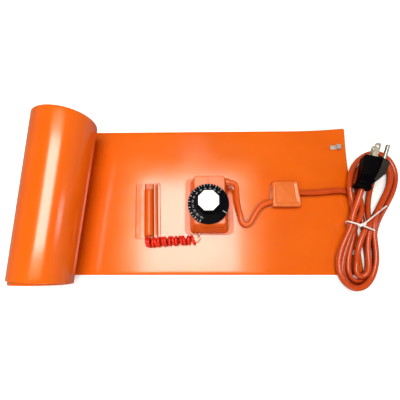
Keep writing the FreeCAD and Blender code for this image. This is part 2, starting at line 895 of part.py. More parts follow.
def make_capillary(neck):
    """The coiled capillary in its red sleeve, and its bare ends at the bulb and the housing."""
    coil_up = size("sheet_thick") + size("soft_gap") + size("coil_radius")
    start = Vector(neck.x - 4.5, neck.y - 2 - size("coil_radius"), coil_up)
    steps = [(0, 0), (13, 0.2), (31, 2), (49, 3), (67, 3.5)]
    route = [start + Vector(along, aside, 0) for along, aside in steps]
    make_tube("capillary_coil", route, size("coil_radius"))
    into_coil = [neck, neck + Vector(-0.2, -1.4, 0.3), neck + Vector(-0.6, -3.0, 1.3)]
    make_tube("capillary_neck", into_coil, size("neck_radius"))
    tail_x, tail_z = size("tail_aside"), size("tail_height")
    inlet = size("housing_up") - size("foot_deep") / 2
    end = route[-1]
    tail = [
        end,
        (tail_x - 2.4, end.y + 0.2, coil_up - 0.6),
        (tail_x, (2 * end.y + inlet) / 3, tail_z + 0.4),
        (tail_x, (end.y + 2 * inlet) / 3, tail_z),
        (tail_x, inlet + 1.4, tail_z),
    ]
    make_tube("capillary_tail", tail, size("tail_radius"))


def make_leads():
    """The two cords that run between the housing, the joint cover and the hank."""
    radius = size("lead_radius")
    lying = size("sheet_thick") + size("soft_gap") / 2 + radius
    up, height = size("lead_up"), size("lead_height")
    lead = [
        (22.8, up, height),
        (31.8, up, height),
        (33.6, 24.0, 15.5),
        (37.0, 13.0, 11.0),
        (40.2, 1.5, 7.6),
        (42.4, -6.5, lying + 0.5),
        (43.4, -11.0, lying),
        (45.8, -18.4, lying),
        (52.2, -19.2, lying),
        (58.4, -9.4, lying),
        (66.4, 1.4, lying),
        (75.4, 9.6, lying),
        (87.4, 11.2, lying),
    ]
    make_tube("thermostat_lead", lead, radius)
    cord = [
        (118.7, 23.4, lying),
        (141.5, 22.9, lying),
        (164.5, 25.4, lying),
        (186.5, 26.6, lying),
    ]
    make_tube("power_cord", cord, radius)


def make_grommet():
    """The moulded ring through which the thermostat's lead leaves the housing."""
    grommet = new_body("Grommet")
    outer = circle_sketch(grommet, "GrommetOutline", "grommet_radius", role="YZ_Plane")
    pad(grommet, "GrommetFlange", outer, "grommet_proud")
    within = "lead_radius + grommet_wall - fitting_gap"
    inner = circle_sketch(grommet, "GrommetNeck", within, role="YZ_Plane")
    neck = pad(grommet, "GrommetNeckPad", inner, "grommet_neck")
    neck.Reversed = True
    hole = circle_sketch(
        grommet, "GrommetHole", "lead_radius + running_gap", role="YZ_Plane", z="-2 * grommet_neck"
    )
    pocket(grommet, "GrommetBore", hole, "4 * grommet_neck + grommet_proud", towards_top=True)
    bind_spot(grommet, f"housing_at + {LEAD_WALL} - boss_in + boss_long", "lead_up", "lead_height")
    return sub_part(grommet, "lead_grommet")


def four_corners(near, far, deep):
    """The corners of a symmetric outline with a near and a far side of different widths."""
    return [(f"-{near}", f"-{deep}"), (near, f"-{deep}"), (far, deep), (f"-{far}", deep)]


def make_joint_cover():
    """The moulded pad over the joint of the leads: wider at its near side, with a raised rim."""
    cover = new_body("Cover")
    bind_spot(cover, "cover_at", "cover_up", "sheet_thick")
    near, far, deep = "cover_near_wide / 2", "cover_far_wide / 2", "cover_deep / 2"
    outline = polygon_sketch(cover, "CoverOutline", four_corners(near, far, deep))
    block = pad(cover, "CoverBlock", outline, "cover_high")
    DOC.recompute()
    upright = [
        f"Edge{number}"
        for number, edge in enumerate(block.Shape.Edges, 1)
        if abs(edge.tangentAt(edge.FirstParameter).z) > 0.9
    ]
    rounding = cover.newObject("PartDesign::Fillet", "CoverCorners")
    rounding.Base = (block, upright)
    bind(rounding, Radius="cover_corner")
    DOC.recompute()
    top = [
        f"Edge{number}"
        for number, edge in enumerate(rounding.Shape.Edges, 1)
        if min(v.Z for v in edge.Vertexes) > size("cover_high") - 0.01
    ]
    softening = cover.newObject("PartDesign::Fillet", "CoverTop")
    softening.Base = (rounding, top)
    bind(softening, Radius="cover_corner * 0.4")
    inside = four_corners(*(f"({reach} - cover_rim)" for reach in (near, far, deep)))
    dish = polygon_sketch(cover, "DishOutline", inside, z="cover_high")
    pocket(cover, "Dish", dish, "cover_dish")
    return sub_part(cover, "joint_cover")


def make_hook(name, label, spot):
    """A lacing hook: a riveted foot whose far end curls up and back over it."""
    hook = new_body(name)
    thick, bend, length = size("hook_thick"), size("hook_radius"), size("hook_long")
    turn = length - size("rivet_at") - 2 * size("rivet_head")
    profile = new_sketch(hook, name + "Profile", "XZ_Plane")
    foot = -size("rivet_at") - 1.4 * size("rivet_head")
    tongue = turn - 4.5
    outer = Part.Circle(Vector(turn, bend, 0), UP, bend)
    inner = Part.Circle(Vector(turn, bend, 0), UP, bend - thick)
    quarter = math.pi / 2
    lift = 2 * bend
    corners = [
        Part.LineSegment(Vector(foot, 0, 0), Vector(turn, 0, 0)),
        Part.ArcOfCircle(outer, -quarter, quarter),
        Part.LineSegment(Vector(turn, lift, 0), Vector(tongue, lift + thick, 0)),
        Part.LineSegment(Vector(tongue, lift + thick, 0), Vector(tongue, lift, 0)),
        Part.LineSegment(Vector(tongue, lift, 0), Vector(turn, lift - thick, 0)),
        Part.ArcOfCircle(inner, -quarter, quarter),
        Part.LineSegment(Vector(turn, thick, 0), Vector(foot, thick, 0)),
        Part.LineSegment(Vector(foot, thick, 0), Vector(foot, 0, 0)),
    ]
    for piece in corners:
        profile.addGeometry(piece, False)
    pad(hook, name + "Strip", profile, "hook_wide", both_ways=True)
    primitive(
        hook,
        "SubtractiveCylinder",
        name + "RivetHole",
        x="-rivet_at",
        z="-hook_thick",
        Radius="rivet_radius",
        Height="3 * hook_thick",
    )
    hook.Placement = spot
    return sub_part(hook, label)


def make_hooks():
    """Both hooks with their rivets and the washers let into the sheet's underside."""
    spots = hook_spots()
    make_hook("NearHook", "near_hook", spots[0])
    make_hook("FarHook", "far_hook", spots[1])
    rivets, washers = [], []
    thick, plate = size("sheet_thick"), size("hook_thick")
    for spot in spots:
        place = rivet_spot(spot)
        shank = Part.makeCylinder(size("rivet_radius"), thick + plate, Vector(0, 0, -thick))
        head_high = size("rivet_head_high")
        head = Part.makeCone(size("rivet_head"), size("rivet_radius"), head_high, Vector(0, 0, plate))
        rivet = shank.fuse(head)
        rivet.Placement = place
        rivets.append(rivet)
        washer = Part.makeCylinder(size("washer_radius"), size("washer_thick"), Vector(0, 0, -thick))
        washer = washer.cut(Part.makeCylinder(size("rivet_radius"), 2 * thick, Vector(0, 0, -1.5 * thick)))
        washer.Placement = place
        washers.append(washer)
    shape_feature("hook_rivets", Part.makeCompound(rivets))
    shape_feature("hook_washers", Part.makeCompound(washers))


# Outlines of the hank seen from above, as the photograph shows its outermost strands
UPPER_LOOP = [
    (179.0, -24.0),
    (182.5, 0.0),
    (184.8, 26.0),
    (192.0, 56.0),
    (207.0, 73.5),
    (226.3, 79.0),
    (243.5, 68.0),
    (251.4, 42.0),
    (249.0, 22.0),
    (238.0, 3.0),
    (225.0, -14.0),
    (209.0, -29.0),
    (194.0, -31.0),
]
LOWER_LOOP = [
    (179.0, -20.0),
    (167.0, -43.6),
    (158.7, -59.6),
    (154.3, -74.0),
    (160.0, -90.5),
    (175.8, -101.0),
    (195.0, -95.0),
    (207.8, -76.0),
    (209.5, -55.0),
    (209.5, -38.0),
    (208.0, -27.0),
    (194.0, -18.0),
]


def loop_block(outline, height):
    """One loop of the hank as an upright block with a smooth outline."""
    foot = size("sheet_thick") + size("soft_gap")
    curve = Part.BSplineCurve()
    curve.interpolate(Points=[Vector(x, y, foot) for x, y in outline], PeriodicFlag=True)
    return Part.Face(Part.Wire([curve.toShape()])).extrude(UP * height)


def make_hank():
    """The tied hank of the power cord: two loops that meet at a waist, and the tie round it."""
    loops = loop_block(UPPER_LOOP, size("upper_high")).fuse(loop_block(LOWER_LOOP, size("lower_high")))
    deep = size("sheet_thick") + 2 * size("hook_radius") + 2 * size("hook_thick")
    hook = hook_spots()[0].Base
    room = Part.makeCylinder(size("hook_room"), deep, Vector(hook.x, hook.y, 0))
    shape_feature("cord_hank", loops.cut(room))

    tie = new_body("Tie")
    bind_spot(tie, "tie_at", "tie_up", "sheet_thick + soft_gap + tie_high / 2")
    tie.setExpression("Placement.Rotation.Angle", cells("tie_turn"))
    depth = "tie_radius"
    corner = "tie_high / 3"
    ring = rounded_sketch(tie, "TieOutline", "tie_wide", "tie_high", corner, role="XZ_Plane", z=f"-{depth}")
    pad(tie, "TieRing", ring, f"2 * {depth}")
    inside = rounded_sketch(
        tie,
        "TieInside",
        "tie_wide - 2 * tie_radius",
        "tie_high - 2 * tie_radius",
        f"{corner} - tie_radius",
        role="XZ_Plane",
        z=f"-2 * {depth}",
    )
    pocket(tie, "TieOpening", inside, f"4 * {depth}", towards_top=True)
    primitive(
        tie,
        "AdditiveCylinder",
        "TieKnot",
        x="-tie_knot",
        z="tie_high / 2 - tie_radius",
        Radius="tie_knot",
        Height="3 * tie_radius",
    )
    tail = primitive(
        tie,
        "AdditiveBox",
        "TieTail",
        x="-tie_knot",
        z="tie_high / 2",
        Length="tie_tail",
        Width="2 * tie_radius",
        Height="tie_radius",
    )
    tail.setExpression("AttachmentOffset.Rotation.Angle", cells("tie_tail_turn"))
    sub_part(tie, "cord_tie")


# The plug's outline along its axis: station, reach to the left, top edge, reach to the right, half height
PLUG_SECTIONS = [
    (0.0, 9.0, 7.0, 9.0, 8.2),
    (1.2, 10.0, 7.6, 10.0, 9.0),
    (4.2, 10.0, 7.6, 10.0, 9.0),
    (5.4, 7.8, 6.4, 9.0, 7.8),
    (9.0, 7.4, 6.4, 9.6, 8.0),
    (17.0, 7.6, 8.4, 15.3, 10.2),
    (25.0, 8.0, 9.4, 20.2, 11.3),
    (30.0, 8.4, 10.0, 21.2, 11.5),
    (40.3, 9.6, 10.0, 20.6, 11.5),
    (41.5, 8.8, 9.4, 19.6, 10.6),
]


def plug_place():
    """Where the plug lies: its local Y runs along its axis towards the blades."""
    tilt = Rotation(UP, -size("plug_turn")).multiply(Rotation(Vector(1, 0, 0), size("plug_tilt")))
    tilt = tilt.multiply(Rotation(Vector(0, 1, 0), -size("plug_roll")))
    return Placement(Vector(size("plug_at"), size("plug_up"), size("plug_height")), tilt)


def make_plug():
    """The moulded plug with its collar, two flat blades and the round earth pin."""
    plug = new_body("Plug")
    sections = []
    for number, (station, left, edge, right, half) in enumerate(PLUG_SECTIONS, 1):
        low = 0.35 * half
        corners = [(-left, -half), (edge, -half), (right, -low), (right, low), (edge, half), (-left, half)]
        along = f"-plug_long * {station / PLUG_SECTIONS[-1][0]:.4f}"
        spots = [(str(x), str(y)) for x, y in corners]
        sections.append(polygon_sketch(plug, f"Section{number}", spots, role="XZ_Plane", z=along))
    loft(plug, "PlugMoulding", sections)
    plug.Placement = plug_place()
    sub_part(plug, "plug_body")

    half, tip, bevel = "blade_wide / 2", "(plug_long + blade_long)", "blade_bevel"
    outline = [
        (f"-{half}", "plug_long"),
        (half, "plug_long"),
        (half, f"{tip} - {bevel}"),
        (f"{half} - {bevel}", tip),
        (f"-{half} + {bevel}", tip),
        (f"-{half}", f"{tip} - {bevel}"),
    ]
    for name, label, side in (("UpperBlade", "upper_blade", ""), ("LowerBlade", "lower_blade", "-")):
        blade = new_body(name)
        height = f"{side}blade_spacing / 2 - blade_thick / 2"
        shape = polygon_sketch(blade, name + "Outline", outline, x="blade_aside", z=height)
        pad(blade, name + "Strip", shape, "blade_thick")
        primitive(
            blade,
            "SubtractiveCylinder",
            name + "Hole",
            x="blade_aside",
            y=f"{tip} - 2.5 * blade_hole",
            z=f"{height} - blade_thick",
            Radius="blade_hole",
            Height="3 * blade_thick",
        )
        blade.Placement = plug_place()
        sub_part(blade, label)

    pin = new_body("EarthPin")
    ring = circle_sketch(
        pin, "EarthOutline", "earth_radius", role="XZ_Plane", x="blade_aside + earth_aside", z="-plug_long"
    )
    rod = pad(pin, "EarthRod", ring, "earth_long")
    rod.Reversed = True
    DOC.recompute()
    rounding = pin.newObject("PartDesign::Fillet", "EarthTip")
    tip_y = size("plug_long") + size("earth_long")
    rim = [
        f"Edge{number}"
        for number, edge in enumerate(rod.Shape.Edges, 1)
        if edge.BoundBox.YMin > tip_y - 0.01
    ]
    rounding.Base = (rod, rim)
    bind(rounding, Radius="earth_radius * 0.7")
    pin.Placement = plug_place()
    sub_part(pin, "earth_pin")

    collar = plug_place().Base
    tail = [
        collar,
        collar + plug_place().Rotation.multVec(Vector(0, -11, 0)),
        (186.0, -1.5, 16.6),
        (181.0, -13.0, 14.0),
        (180.2, -23.5, 12.0),
    ]
    make_tube("plug_tail", tail, size("lead_radius"))


def export_all():
    """Checks every object and shape, then writes one file for each sub-part."""
    DOC.recompute()
    for thing in DOC.Objects:
        failed = {"Invalid", "Error"} & set(thing.State)
        if failed:
            raise RuntimeError(f"{thing.Label} did not compute: {thing.State}")
    os.makedirs("parts", exist_ok=True)
    for thing in SUB_PARTS:
        shape = thing.Shape
        if shape.isNull() or not shape.isValid() or not shape.Solids:
            raise RuntimeError(f"{thing.Label} has no valid solid")
        shape.exportStep(os.path.join("parts", thing.Label + ".step"))
        print(f"{thing.Label}: {len(shape.Solids)} solid, {shape.Volume:.0f} cubic mm")


shape_feature("heater_sheet", make_sheet())
make_housing()
make_thermostat()
make_knob()
make_capillary(make_sensor())
make_leads()
make_grommet()
make_joint_cover()
make_hooks()
make_hank()
make_plug()
export_all()
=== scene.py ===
"""Drum heater blanket: a silicone rubber heating band, part wound into a roll, with its dial
thermostat, sensor pocket, joint cover, lacing hooks and a tied power cord with an earthed plug.

Sizes in the classes are millimetres and degrees, apart from the depths of the finishes, which
are metres like Blender's own units.
"""

import logging
import math
from dataclasses import dataclass
from enum import Enum

import bmesh
import bpy
from mathutils import Euler, Matrix, Vector

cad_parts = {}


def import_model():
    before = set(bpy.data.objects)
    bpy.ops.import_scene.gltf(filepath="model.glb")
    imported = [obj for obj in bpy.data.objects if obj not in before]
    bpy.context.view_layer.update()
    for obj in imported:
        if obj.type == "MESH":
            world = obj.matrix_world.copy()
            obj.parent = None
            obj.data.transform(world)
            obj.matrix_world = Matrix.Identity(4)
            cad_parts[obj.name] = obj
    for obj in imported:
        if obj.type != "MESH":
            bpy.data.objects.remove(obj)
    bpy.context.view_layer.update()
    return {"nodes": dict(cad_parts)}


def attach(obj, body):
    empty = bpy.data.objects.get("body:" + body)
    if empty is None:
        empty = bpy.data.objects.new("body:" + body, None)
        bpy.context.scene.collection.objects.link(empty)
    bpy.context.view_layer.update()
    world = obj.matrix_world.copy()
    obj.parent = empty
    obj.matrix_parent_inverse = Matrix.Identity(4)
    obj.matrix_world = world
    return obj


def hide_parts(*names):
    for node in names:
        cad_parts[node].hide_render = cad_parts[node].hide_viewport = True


LOG = logging.getLogger("drum_heater_blanket")
MM = 0.001
BLANKET = "blanket"
KNOB = "knob"

Colour = tuple[float, float, float]
Spot = tuple[float, float, float]
Flat = tuple[float, float]
Face = tuple[int, ...]
Socket = bpy.types.NodeSocket

# How far light spreads inside rubber that glows: red, green and blue, in metres
GLOW_REACH = (0.004, 0.0015, 0.0006)
# Depth of the skin's finest grain, in metres
SKIN_GRAIN = 0.000004
# How many of each mark of the rubber fit in a metre
SMEARS = 60.0
WAVES = 16.0
THREADS = 420.0
GRAINS = 900.0
# How far the rubber's roughness falls and rises in its smears
SMEAR_FALL = 0.05
SMEAR_RISE = 0.07
# Brightness that is left in the deepest corners under their painted shade
CREVICE_SHADE_SHARE = 0.22
# A mix node's sockets for plain numbers
MIX_FACTOR = 0
MIX_FIRST = 2
MIX_SECOND = 3


class Grain(Enum):
    """How a metal was finished: the factors that draw its marks out along the three axes."""

    DRAWN = (1, 0.04, 1)
    PLATED = (1, 1, 1)
    SPUN = (0.3, 1, 1)


class NodeBoard:
    """A node tree, with short ways to add and join its nodes."""

    def __init__(self, tree: bpy.types.NodeTree) -> None:
        """Takes over a tree."""
        self.tree = tree

    def add(self, kind: str, **values: object) -> bpy.types.Node:
        """Adds a node and sets its inputs or properties by name.

        Args:
            kind: The node's type, without its common prefix.
            **values: Inputs, with underscores for spaces, or properties in lower case.

        Returns:
            The new node.
        """
        node = self.tree.nodes.new("ShaderNode" + kind)
        for name, value in values.items():
            title = name.replace("_", " ")
            if title in node.inputs:
                node.inputs[title].default_value = value
            else:
                setattr(node, name, value)
        return node

    def join(self, start: Socket, end: Socket) -> None:
        """Links one socket to another."""
        self.tree.links.new(start, end)


class SurfaceBoard(NodeBoard):
    """The nodes of one material round its surface shader."""

    def __init__(self, name: str) -> None:
        """Starts a material that holds only a surface shader and its output.

        Args:
            name: The material's name.
        """
        self.material = bpy.data.materials.new(name)
        self.material.use_nodes = True
        super().__init__(self.material.node_tree)
        self.tree.nodes.clear()
        self.surface = self.add("BsdfPrincipled")
        self.join(self.surface.outputs[0], self.add("OutputMaterial").inputs["Surface"])
        self.place = self.add("TexCoord").outputs["Object"]

    def feed(self, title: str, value: Socket | float | Spot) -> None:
        """Gives the surface shader one of its inputs.

        Args:
            title: The input's name.
            value: A socket that is linked to it, or a constant.
        """
        target = self.surface.inputs[title]
        if isinstance(value, Socket):
            self.join(value, target)
        else:
            target.default_value = value

    def noise(self, per_metre: float, detail: float = 3.0, stretch: Spot = (1, 1, 1)) -> Socket:
        """A cloudy pattern on the piece.

        Args:
            per_metre: How many blobs fit in a metre.
            detail: How much finer structure it has.
            stretch: Factors on the three axes, to draw the blobs out.

        Returns:
            The pattern's value, about 0.5 on average.
        """
        mapping = self.add("Mapping", Scale=stretch)
        self.join(self.place, mapping.inputs["Vector"])
        cloud = self.add("TexNoise", Scale=per_metre, Detail=detail, Roughness=0.55)
        self.join(mapping.outputs["Vector"], cloud.inputs["Vector"])
        return cloud.outputs["Fac"]

    def spread(self, value: Socket, low: float, high: float, to_low: float, to_high: float) -> Socket:
        """Maps a value from one range to another, held at both ends.

        Args:
            value: The value that is mapped.
            low: Start of its range.
            high: End of its range.
            to_low: What the start becomes.
            to_high: What the end becomes.

        Returns:
            The mapped value.
        """
        ranger = self.add("MapRange", From_Min=low, From_Max=high, To_Min=to_low, To_Max=to_high)
        self.join(value, ranger.inputs["Value"])
        return ranger.outputs["Result"]

    def tint(self, amount: Socket, first: Colour, second: Colour) -> Socket:
        """A colour between two, by an amount from 0 to 1.

        Args:
            amount: The share of the second colour.
            first: Colour at 0.
            second: Colour at 1.

        Returns:
            The mixed colour.
        """
        ramp = self.add("ValToRGB")
        ramp.color_ramp.elements[0].color = (*first, 1)
        ramp.color_ramp.elements[1].color = (*second, 1)
        self.join(amount, ramp.inputs["Fac"])
        return ramp.outputs["Color"]

    def bump(self, height: Socket, depth: float, below: Socket | None = None) -> Socket:
        """Raises the shaded surface by a pattern.

        Args:
            height: The pattern.
            depth: Its depth in metres.
            below: The normal of a coarser bump under this one.

        Returns:
            The bumped normal.
        """
        relief = self.add("Bump", Strength=1.0, Distance=depth)
        self.join(height, relief.inputs["Height"])
        if below is not None:
            self.join(below, relief.inputs["Normal"])
        return relief.outputs["Normal"]


@dataclass(frozen=True)
class SiliconeFinish:
    """Cured silicone rubber: satin, a little cloudy, with the print of the cloth inside it."""

    name: str
    colour: Colour
    deep_colour: Colour
    roughness: float = 0.36
    # Depths in metres of the cloth's print and of slow waves, and clouds in a metre
    cloth_print: float = 0.000002
    waviness: float = 0.0006
    clouds: float = 14.0
    # Share of the light that goes in and comes out again
    glow: float = 0.0
    edge_round: float = 0.0
    shine: float = 0.5
    # How much the roughness varies
    smear: float = 1.0
    # How far from a wall the painted shade in its corners reaches, and the brightness of upright walls under
    # their painted shade
    crevice_shade_reach: float = 0.0
    wall_shade_share: float = 1.0

    def material(self) -> bpy.types.Material:
        """Builds the finish.

        Returns:
            The material.
        """
        board = SurfaceBoard(self.name)
        board.feed("Base Color", self._tone(board))
        least = self.roughness - SMEAR_FALL * self.smear
        most = self.roughness + SMEAR_RISE * self.smear
        smears = board.noise(SMEARS, 5.0, (0.4, 1, 1))
        board.feed("Roughness", board.spread(smears, 0.3, 0.75, least, most))
        board.feed("Normal", self._relief(board))
        board.feed("Specular IOR Level", self.shine)
        if self.glow > 0:
            board.feed("Subsurface Weight", self.glow)
            board.feed("Subsurface Radius", GLOW_REACH)
            board.feed("Subsurface Scale", 1.0)
        return board.material

    def _tone(self, board: SurfaceBoard) -> Socket:
        """The cloudy colour, with painted shade on walls and in corners.

        Args:
            board: The material's nodes.

        Returns:
            The colour.
        """
        cloud = board.spread(board.noise(self.clouds, 4.0), 0.3, 0.7, 0.0, 1.0)
        colour = board.tint(cloud, self.colour, self.deep_colour)
        # Painted shade: upright walls are darker than level faces, as if less lit
        if self.wall_shade_share < 1:
            colour = self._painted_shade(board, colour, self._uprightness(board), self.wall_shade_share)
        # Painted shade: darker where ambient occlusion finds faces close by, standing in for contact shadows
        # in corners and between parts
        if self.crevice_shade_reach > 0:
            open_sky = board.add("AmbientOcclusion", samples=8, Distance=self.crevice_shade_reach)
            closed = board.spread(open_sky.outputs["AO"], 0.35, 0.95, 1.0, 0.0)
            colour = self._painted_shade(board, colour, closed, CREVICE_SHADE_SHARE)
        return colour

    def _relief(self, board: SurfaceBoard) -> Socket:
        """Rounded edges under slow waves, the cloth's print and a fine grain.

        Args:
            board: The material's nodes.

        Returns:
            The bumped normal.
        """
        below = None
        if self.edge_round > 0:
            below = board.add("Bevel", samples=6, Radius=self.edge_round).outputs[0]
        normal = board.bump(board.noise(WAVES, 1.0), self.waviness, below)
        if self.cloth_print > 0:
            normal = board.bump(self._weave(board), self.cloth_print, normal)
        return board.bump(board.noise(GRAINS, 2.0), SKIN_GRAIN, normal)

    def _uprightness(self, board: SurfaceBoard) -> Socket:
        """How upright a face is.

        Args:
            board: The material's nodes.

        Returns:
            1 on upright walls and 0 on level faces.
        """
        split = board.add("SeparateXYZ")
        board.join(board.add("NewGeometry").outputs["Normal"], split.inputs[0])
        level = board.add("Math", operation="ABSOLUTE")
        board.join(split.outputs["Z"], level.inputs[0])
        return board.spread(level.outputs[0], 0.35, 0.85, 1.0, 0.0)

    def _painted_shade(self, board: SurfaceBoard, colour: Socket, amount: Socket, share: float) -> Socket:
        """A colour darkened by painted shade, by an amount.

        Args:
            board: The material's nodes.
            colour: The colour that is deepened.
            amount: How far, from 0 to 1.
            share: What share of the colour stays at 1; its red holds on longest.

        Returns:
            The deepened colour.
        """
        # Painted shade: a tint that is white where there is none and deepest at an amount of 1
        deep = board.tint(amount, (1.0, 1.0, 1.0), (share**0.6, share, share))
        product = board.add("VectorMath", operation="MULTIPLY")
        board.join(colour, product.inputs[0])
        board.join(deep, product.inputs[1])
        return product.outputs[0]

    def _weave(self, board: SurfaceBoard) -> Socket:
        """The grid of the glass cloth under the surface.

        Args:
            board: The material's nodes.

        Returns:
            The grid's height.
        """
        waves = []
        for direction in ("X", "Y"):
            wave = board.add("TexWave", Scale=THREADS, Distortion=0.6, bands_direction=direction)
            board.join(board.place, wave.inputs["Vector"])
            waves.append(wave)
        adder = board.add("Math", operation="ADD")
        for wave, term in zip(waves, adder.inputs):
            board.join(wave.outputs["Fac"], term)
        return adder.outputs[0]


@dataclass(frozen=True)
class MouldedFinish:
    """Moulded plastic with a fine skin and a little dust in its gloss."""

    name: str
    colour: Colour
    roughness: float
    grain: float = 0.000015
    grain_size: float = 1500.0
    shine: float = 0.5

    def material(self) -> bpy.types.Material:
        """Builds the finish.

        Returns:
            The material.
        """
        board = SurfaceBoard(self.name)
        pale = tuple(min(1.0, part * 1.35 + 0.001) for part in self.colour)
        cloud = board.spread(board.noise(90.0, 4.0), 0.35, 0.8, 0.0, 1.0)
        rough = board.spread(board.noise(240.0, 5.0), 0.3, 0.8, self.roughness * 0.85, self.roughness * 1.3)
        board.feed("Base Color", board.tint(cloud, self.colour, pale))
        board.feed("Roughness", rough)
        board.feed("Normal", board.bump(board.noise(self.grain_size, 2.0), self.grain))
        board.feed("Specular IOR Level", self.shine)
        return board.material


@dataclass(frozen=True)
class MetalFinish:
    """A metal with the marks of how it was made."""

    name: str
    colour: Colour
    roughness: float
    grain: Grain = Grain.DRAWN
    metallic: float = 1.0
    relief: float = 0.000012

    def material(self) -> bpy.types.Material:
        """Builds the finish.

        Returns:
            The material.
        """
        board = SurfaceBoard(self.name)
        marks = board.noise(2600.0, 3.0, self.grain.value)
        dull = tuple(part * 0.82 for part in self.colour)
        stain = board.spread(board.noise(180.0, 4.0), 0.4, 0.75, 0.0, 1.0)
        board.feed("Base Color", board.tint(stain, self.colour, dull))
        board.feed("Roughness", board.spread(marks, 0.3, 0.7, self.roughness * 0.75, self.roughness * 1.3))
        if self.relief > 0:
            board.feed("Normal", board.bump(marks, self.relief))
        board.feed("Metallic", self.metallic)
        return board.material


Finish = SiliconeFinish | MouldedFinish | MetalFinish

BAND = SiliconeFinish(
    "band_silicone", (0.86, 0.140, 0.004), (0.79, 0.121, 0.003),
    roughness=0.16, waviness=0.0004, shine=1.0, smear=0.4, crevice_shade_reach=0.005,
)
HOUSING = SiliconeFinish(
    "housing_silicone", (0.86, 0.150, 0.016), (0.80, 0.125, 0.013),
    roughness=0.24, cloth_print=0.0, edge_round=0.0003, shine=0.45, crevice_shade_reach=0.005, wall_shade_share=0.90,
)
POCKET = SiliconeFinish(
    "pocket_silicone", (0.84, 0.130, 0.007), (0.76, 0.110, 0.006),
    roughness=0.17, cloth_print=0.0, shine=0.85, smear=0.5, crevice_shade_reach=0.003,
)
# Painted shade: a dark copy of the pocket's rubber for its creases, its edges and the ridge's right side
POCKET_PAINTED_SHADE = SiliconeFinish(
    "pocket_painted_shade", (0.42, 0.052, 0.004), (0.34, 0.040, 0.003),
    roughness=0.3, cloth_print=0.0, shine=0.2,
)
# Painted shade: a darker, duller copy of the pocket's rubber for its ridge, standing in for the dark
# reflections on it
POCKET_RIDGE_SHADE = SiliconeFinish(
    "pocket_ridge_painted_shade", (0.72, 0.120, 0.008), (0.64, 0.100, 0.007),
    roughness=0.2, cloth_print=0.0, shine=0.35, smear=0.5,
)
COVER = SiliconeFinish(
    "cover_silicone", (0.82, 0.200, 0.040), (0.74, 0.150, 0.026),
    roughness=0.22, cloth_print=0.0, waviness=0.0010, clouds=60.0, glow=0.12, shine=0.7, crevice_shade_reach=0.003,
)
JACKET = SiliconeFinish(
    "cord_jacket", (0.64, 0.078, 0.012), (0.54, 0.060, 0.010),
    roughness=0.18, cloth_print=0.0, waviness=0.0002, clouds=40.0, shine=0.55, smear=0.5, crevice_shade_reach=0.007,
)
LEAD_JACKET = SiliconeFinish(
    "lead_jacket", (0.78, 0.118, 0.014), (0.70, 0.098, 0.012),
    roughness=0.22, cloth_print=0.0, waviness=0.0002, clouds=40.0, smear=0.5, crevice_shade_reach=0.005,
)
SLEEVE = SiliconeFinish(
    "capillary_sleeve", (0.84, 0.026, 0.007), (0.66, 0.014, 0.004),
    roughness=0.20, cloth_print=0.0, waviness=0.0002, clouds=90.0, crevice_shade_reach=0.003,
)
BLACK_GLOSS = MouldedFinish("knob_black", (0.004, 0.004, 0.006), 0.14, shine=0.02)
BLACK_MATT = MouldedFinish("plug_black", (0.0015, 0.0012, 0.002), 0.32, 0.00002, 900.0, 0.01)
# Painted sheen: a paler black for the grips on the plug's right facet
GRIP_PAINTED_SHEEN = MouldedFinish("plug_grip_painted_sheen", (0.030, 0.022, 0.020), 0.38, 0.00004, 700.0, 0.3)
SWITCH_BLACK = MouldedFinish("switch_black", (0.03, 0.03, 0.032), 0.5)
TIE_WHITE = MouldedFinish("tie_white", (0.90, 0.90, 0.90), 0.4)
PRINT_WHITE = MouldedFinish("dial_print", (0.62, 0.62, 0.65), 0.5, grain=0.0, shine=0.2)
PRINT_WORN = MouldedFinish("dial_print_worn", (0.30, 0.30, 0.34), 0.5, grain=0.0, shine=0.2)
CAP_METAL = MetalFinish("cap_metal", (0.86, 0.86, 0.87), 0.42, Grain.SPUN, metallic=0.35)
NICKEL = MetalFinish("hook_nickel", (0.80, 0.76, 0.72), 0.34, Grain.PLATED, metallic=0.55, relief=0.0)
BLADE_METAL = MetalFinish("blade_metal", (0.46, 0.44, 0.42), 0.26, metallic=0.85, relief=0.0)
COPPER = MetalFinish("copper", (0.80, 0.50, 0.32), 0.30, relief=0.000004)
ZINC = MetalFinish("zinc", (0.62, 0.62, 0.60), 0.38, Grain.PLATED)


class Workshop:
    """Keeps the finishes that have been built, and dresses objects with them."""

    def __init__(self) -> None:
        """Starts with no finish built."""
        self.built: dict[str, bpy.types.Material] = {}

    def finish(self, recipe: Finish) -> bpy.types.Material:
        """The material of a finish, built the first time it is asked for.

        Args:
            recipe: The finish.

        Returns:
            Its material.
        """
        if recipe.name not in self.built:
            self.built[recipe.name] = recipe.material()
        return self.built[recipe.name]

    def dress(self, thing: bpy.types.Object, recipe: Finish) -> None:
        """Gives an object one finish all over.

        Args:
            thing: The object.
            recipe: The finish.
        """
        material = self.finish(recipe)
        if thing.type == "MESH" and thing.material_slots:
            for place in thing.material_slots:
                place.material = material
        else:
            thing.data.materials.append(material)

    def mount(self, thing: bpy.types.Object, recipe: Finish, body: str) -> None:
        """Dresses a new piece and fixes it to a body.

        Args:
            thing: The piece.
            recipe: Its finish.
            body: The body that it moves with.
        """
        self.dress(thing, recipe)
        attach(thing, body)


def link(name: str, data: bpy.types.ID) -> bpy.types.Object:
    """Puts an object into the scene.

    Args:
        name: Its name.
        data: Its mesh, curve, camera or light.

    Returns:
        The object.
    """
    thing = bpy.data.objects.new(name, data)
    bpy.context.scene.collection.objects.link(thing)
    return thing


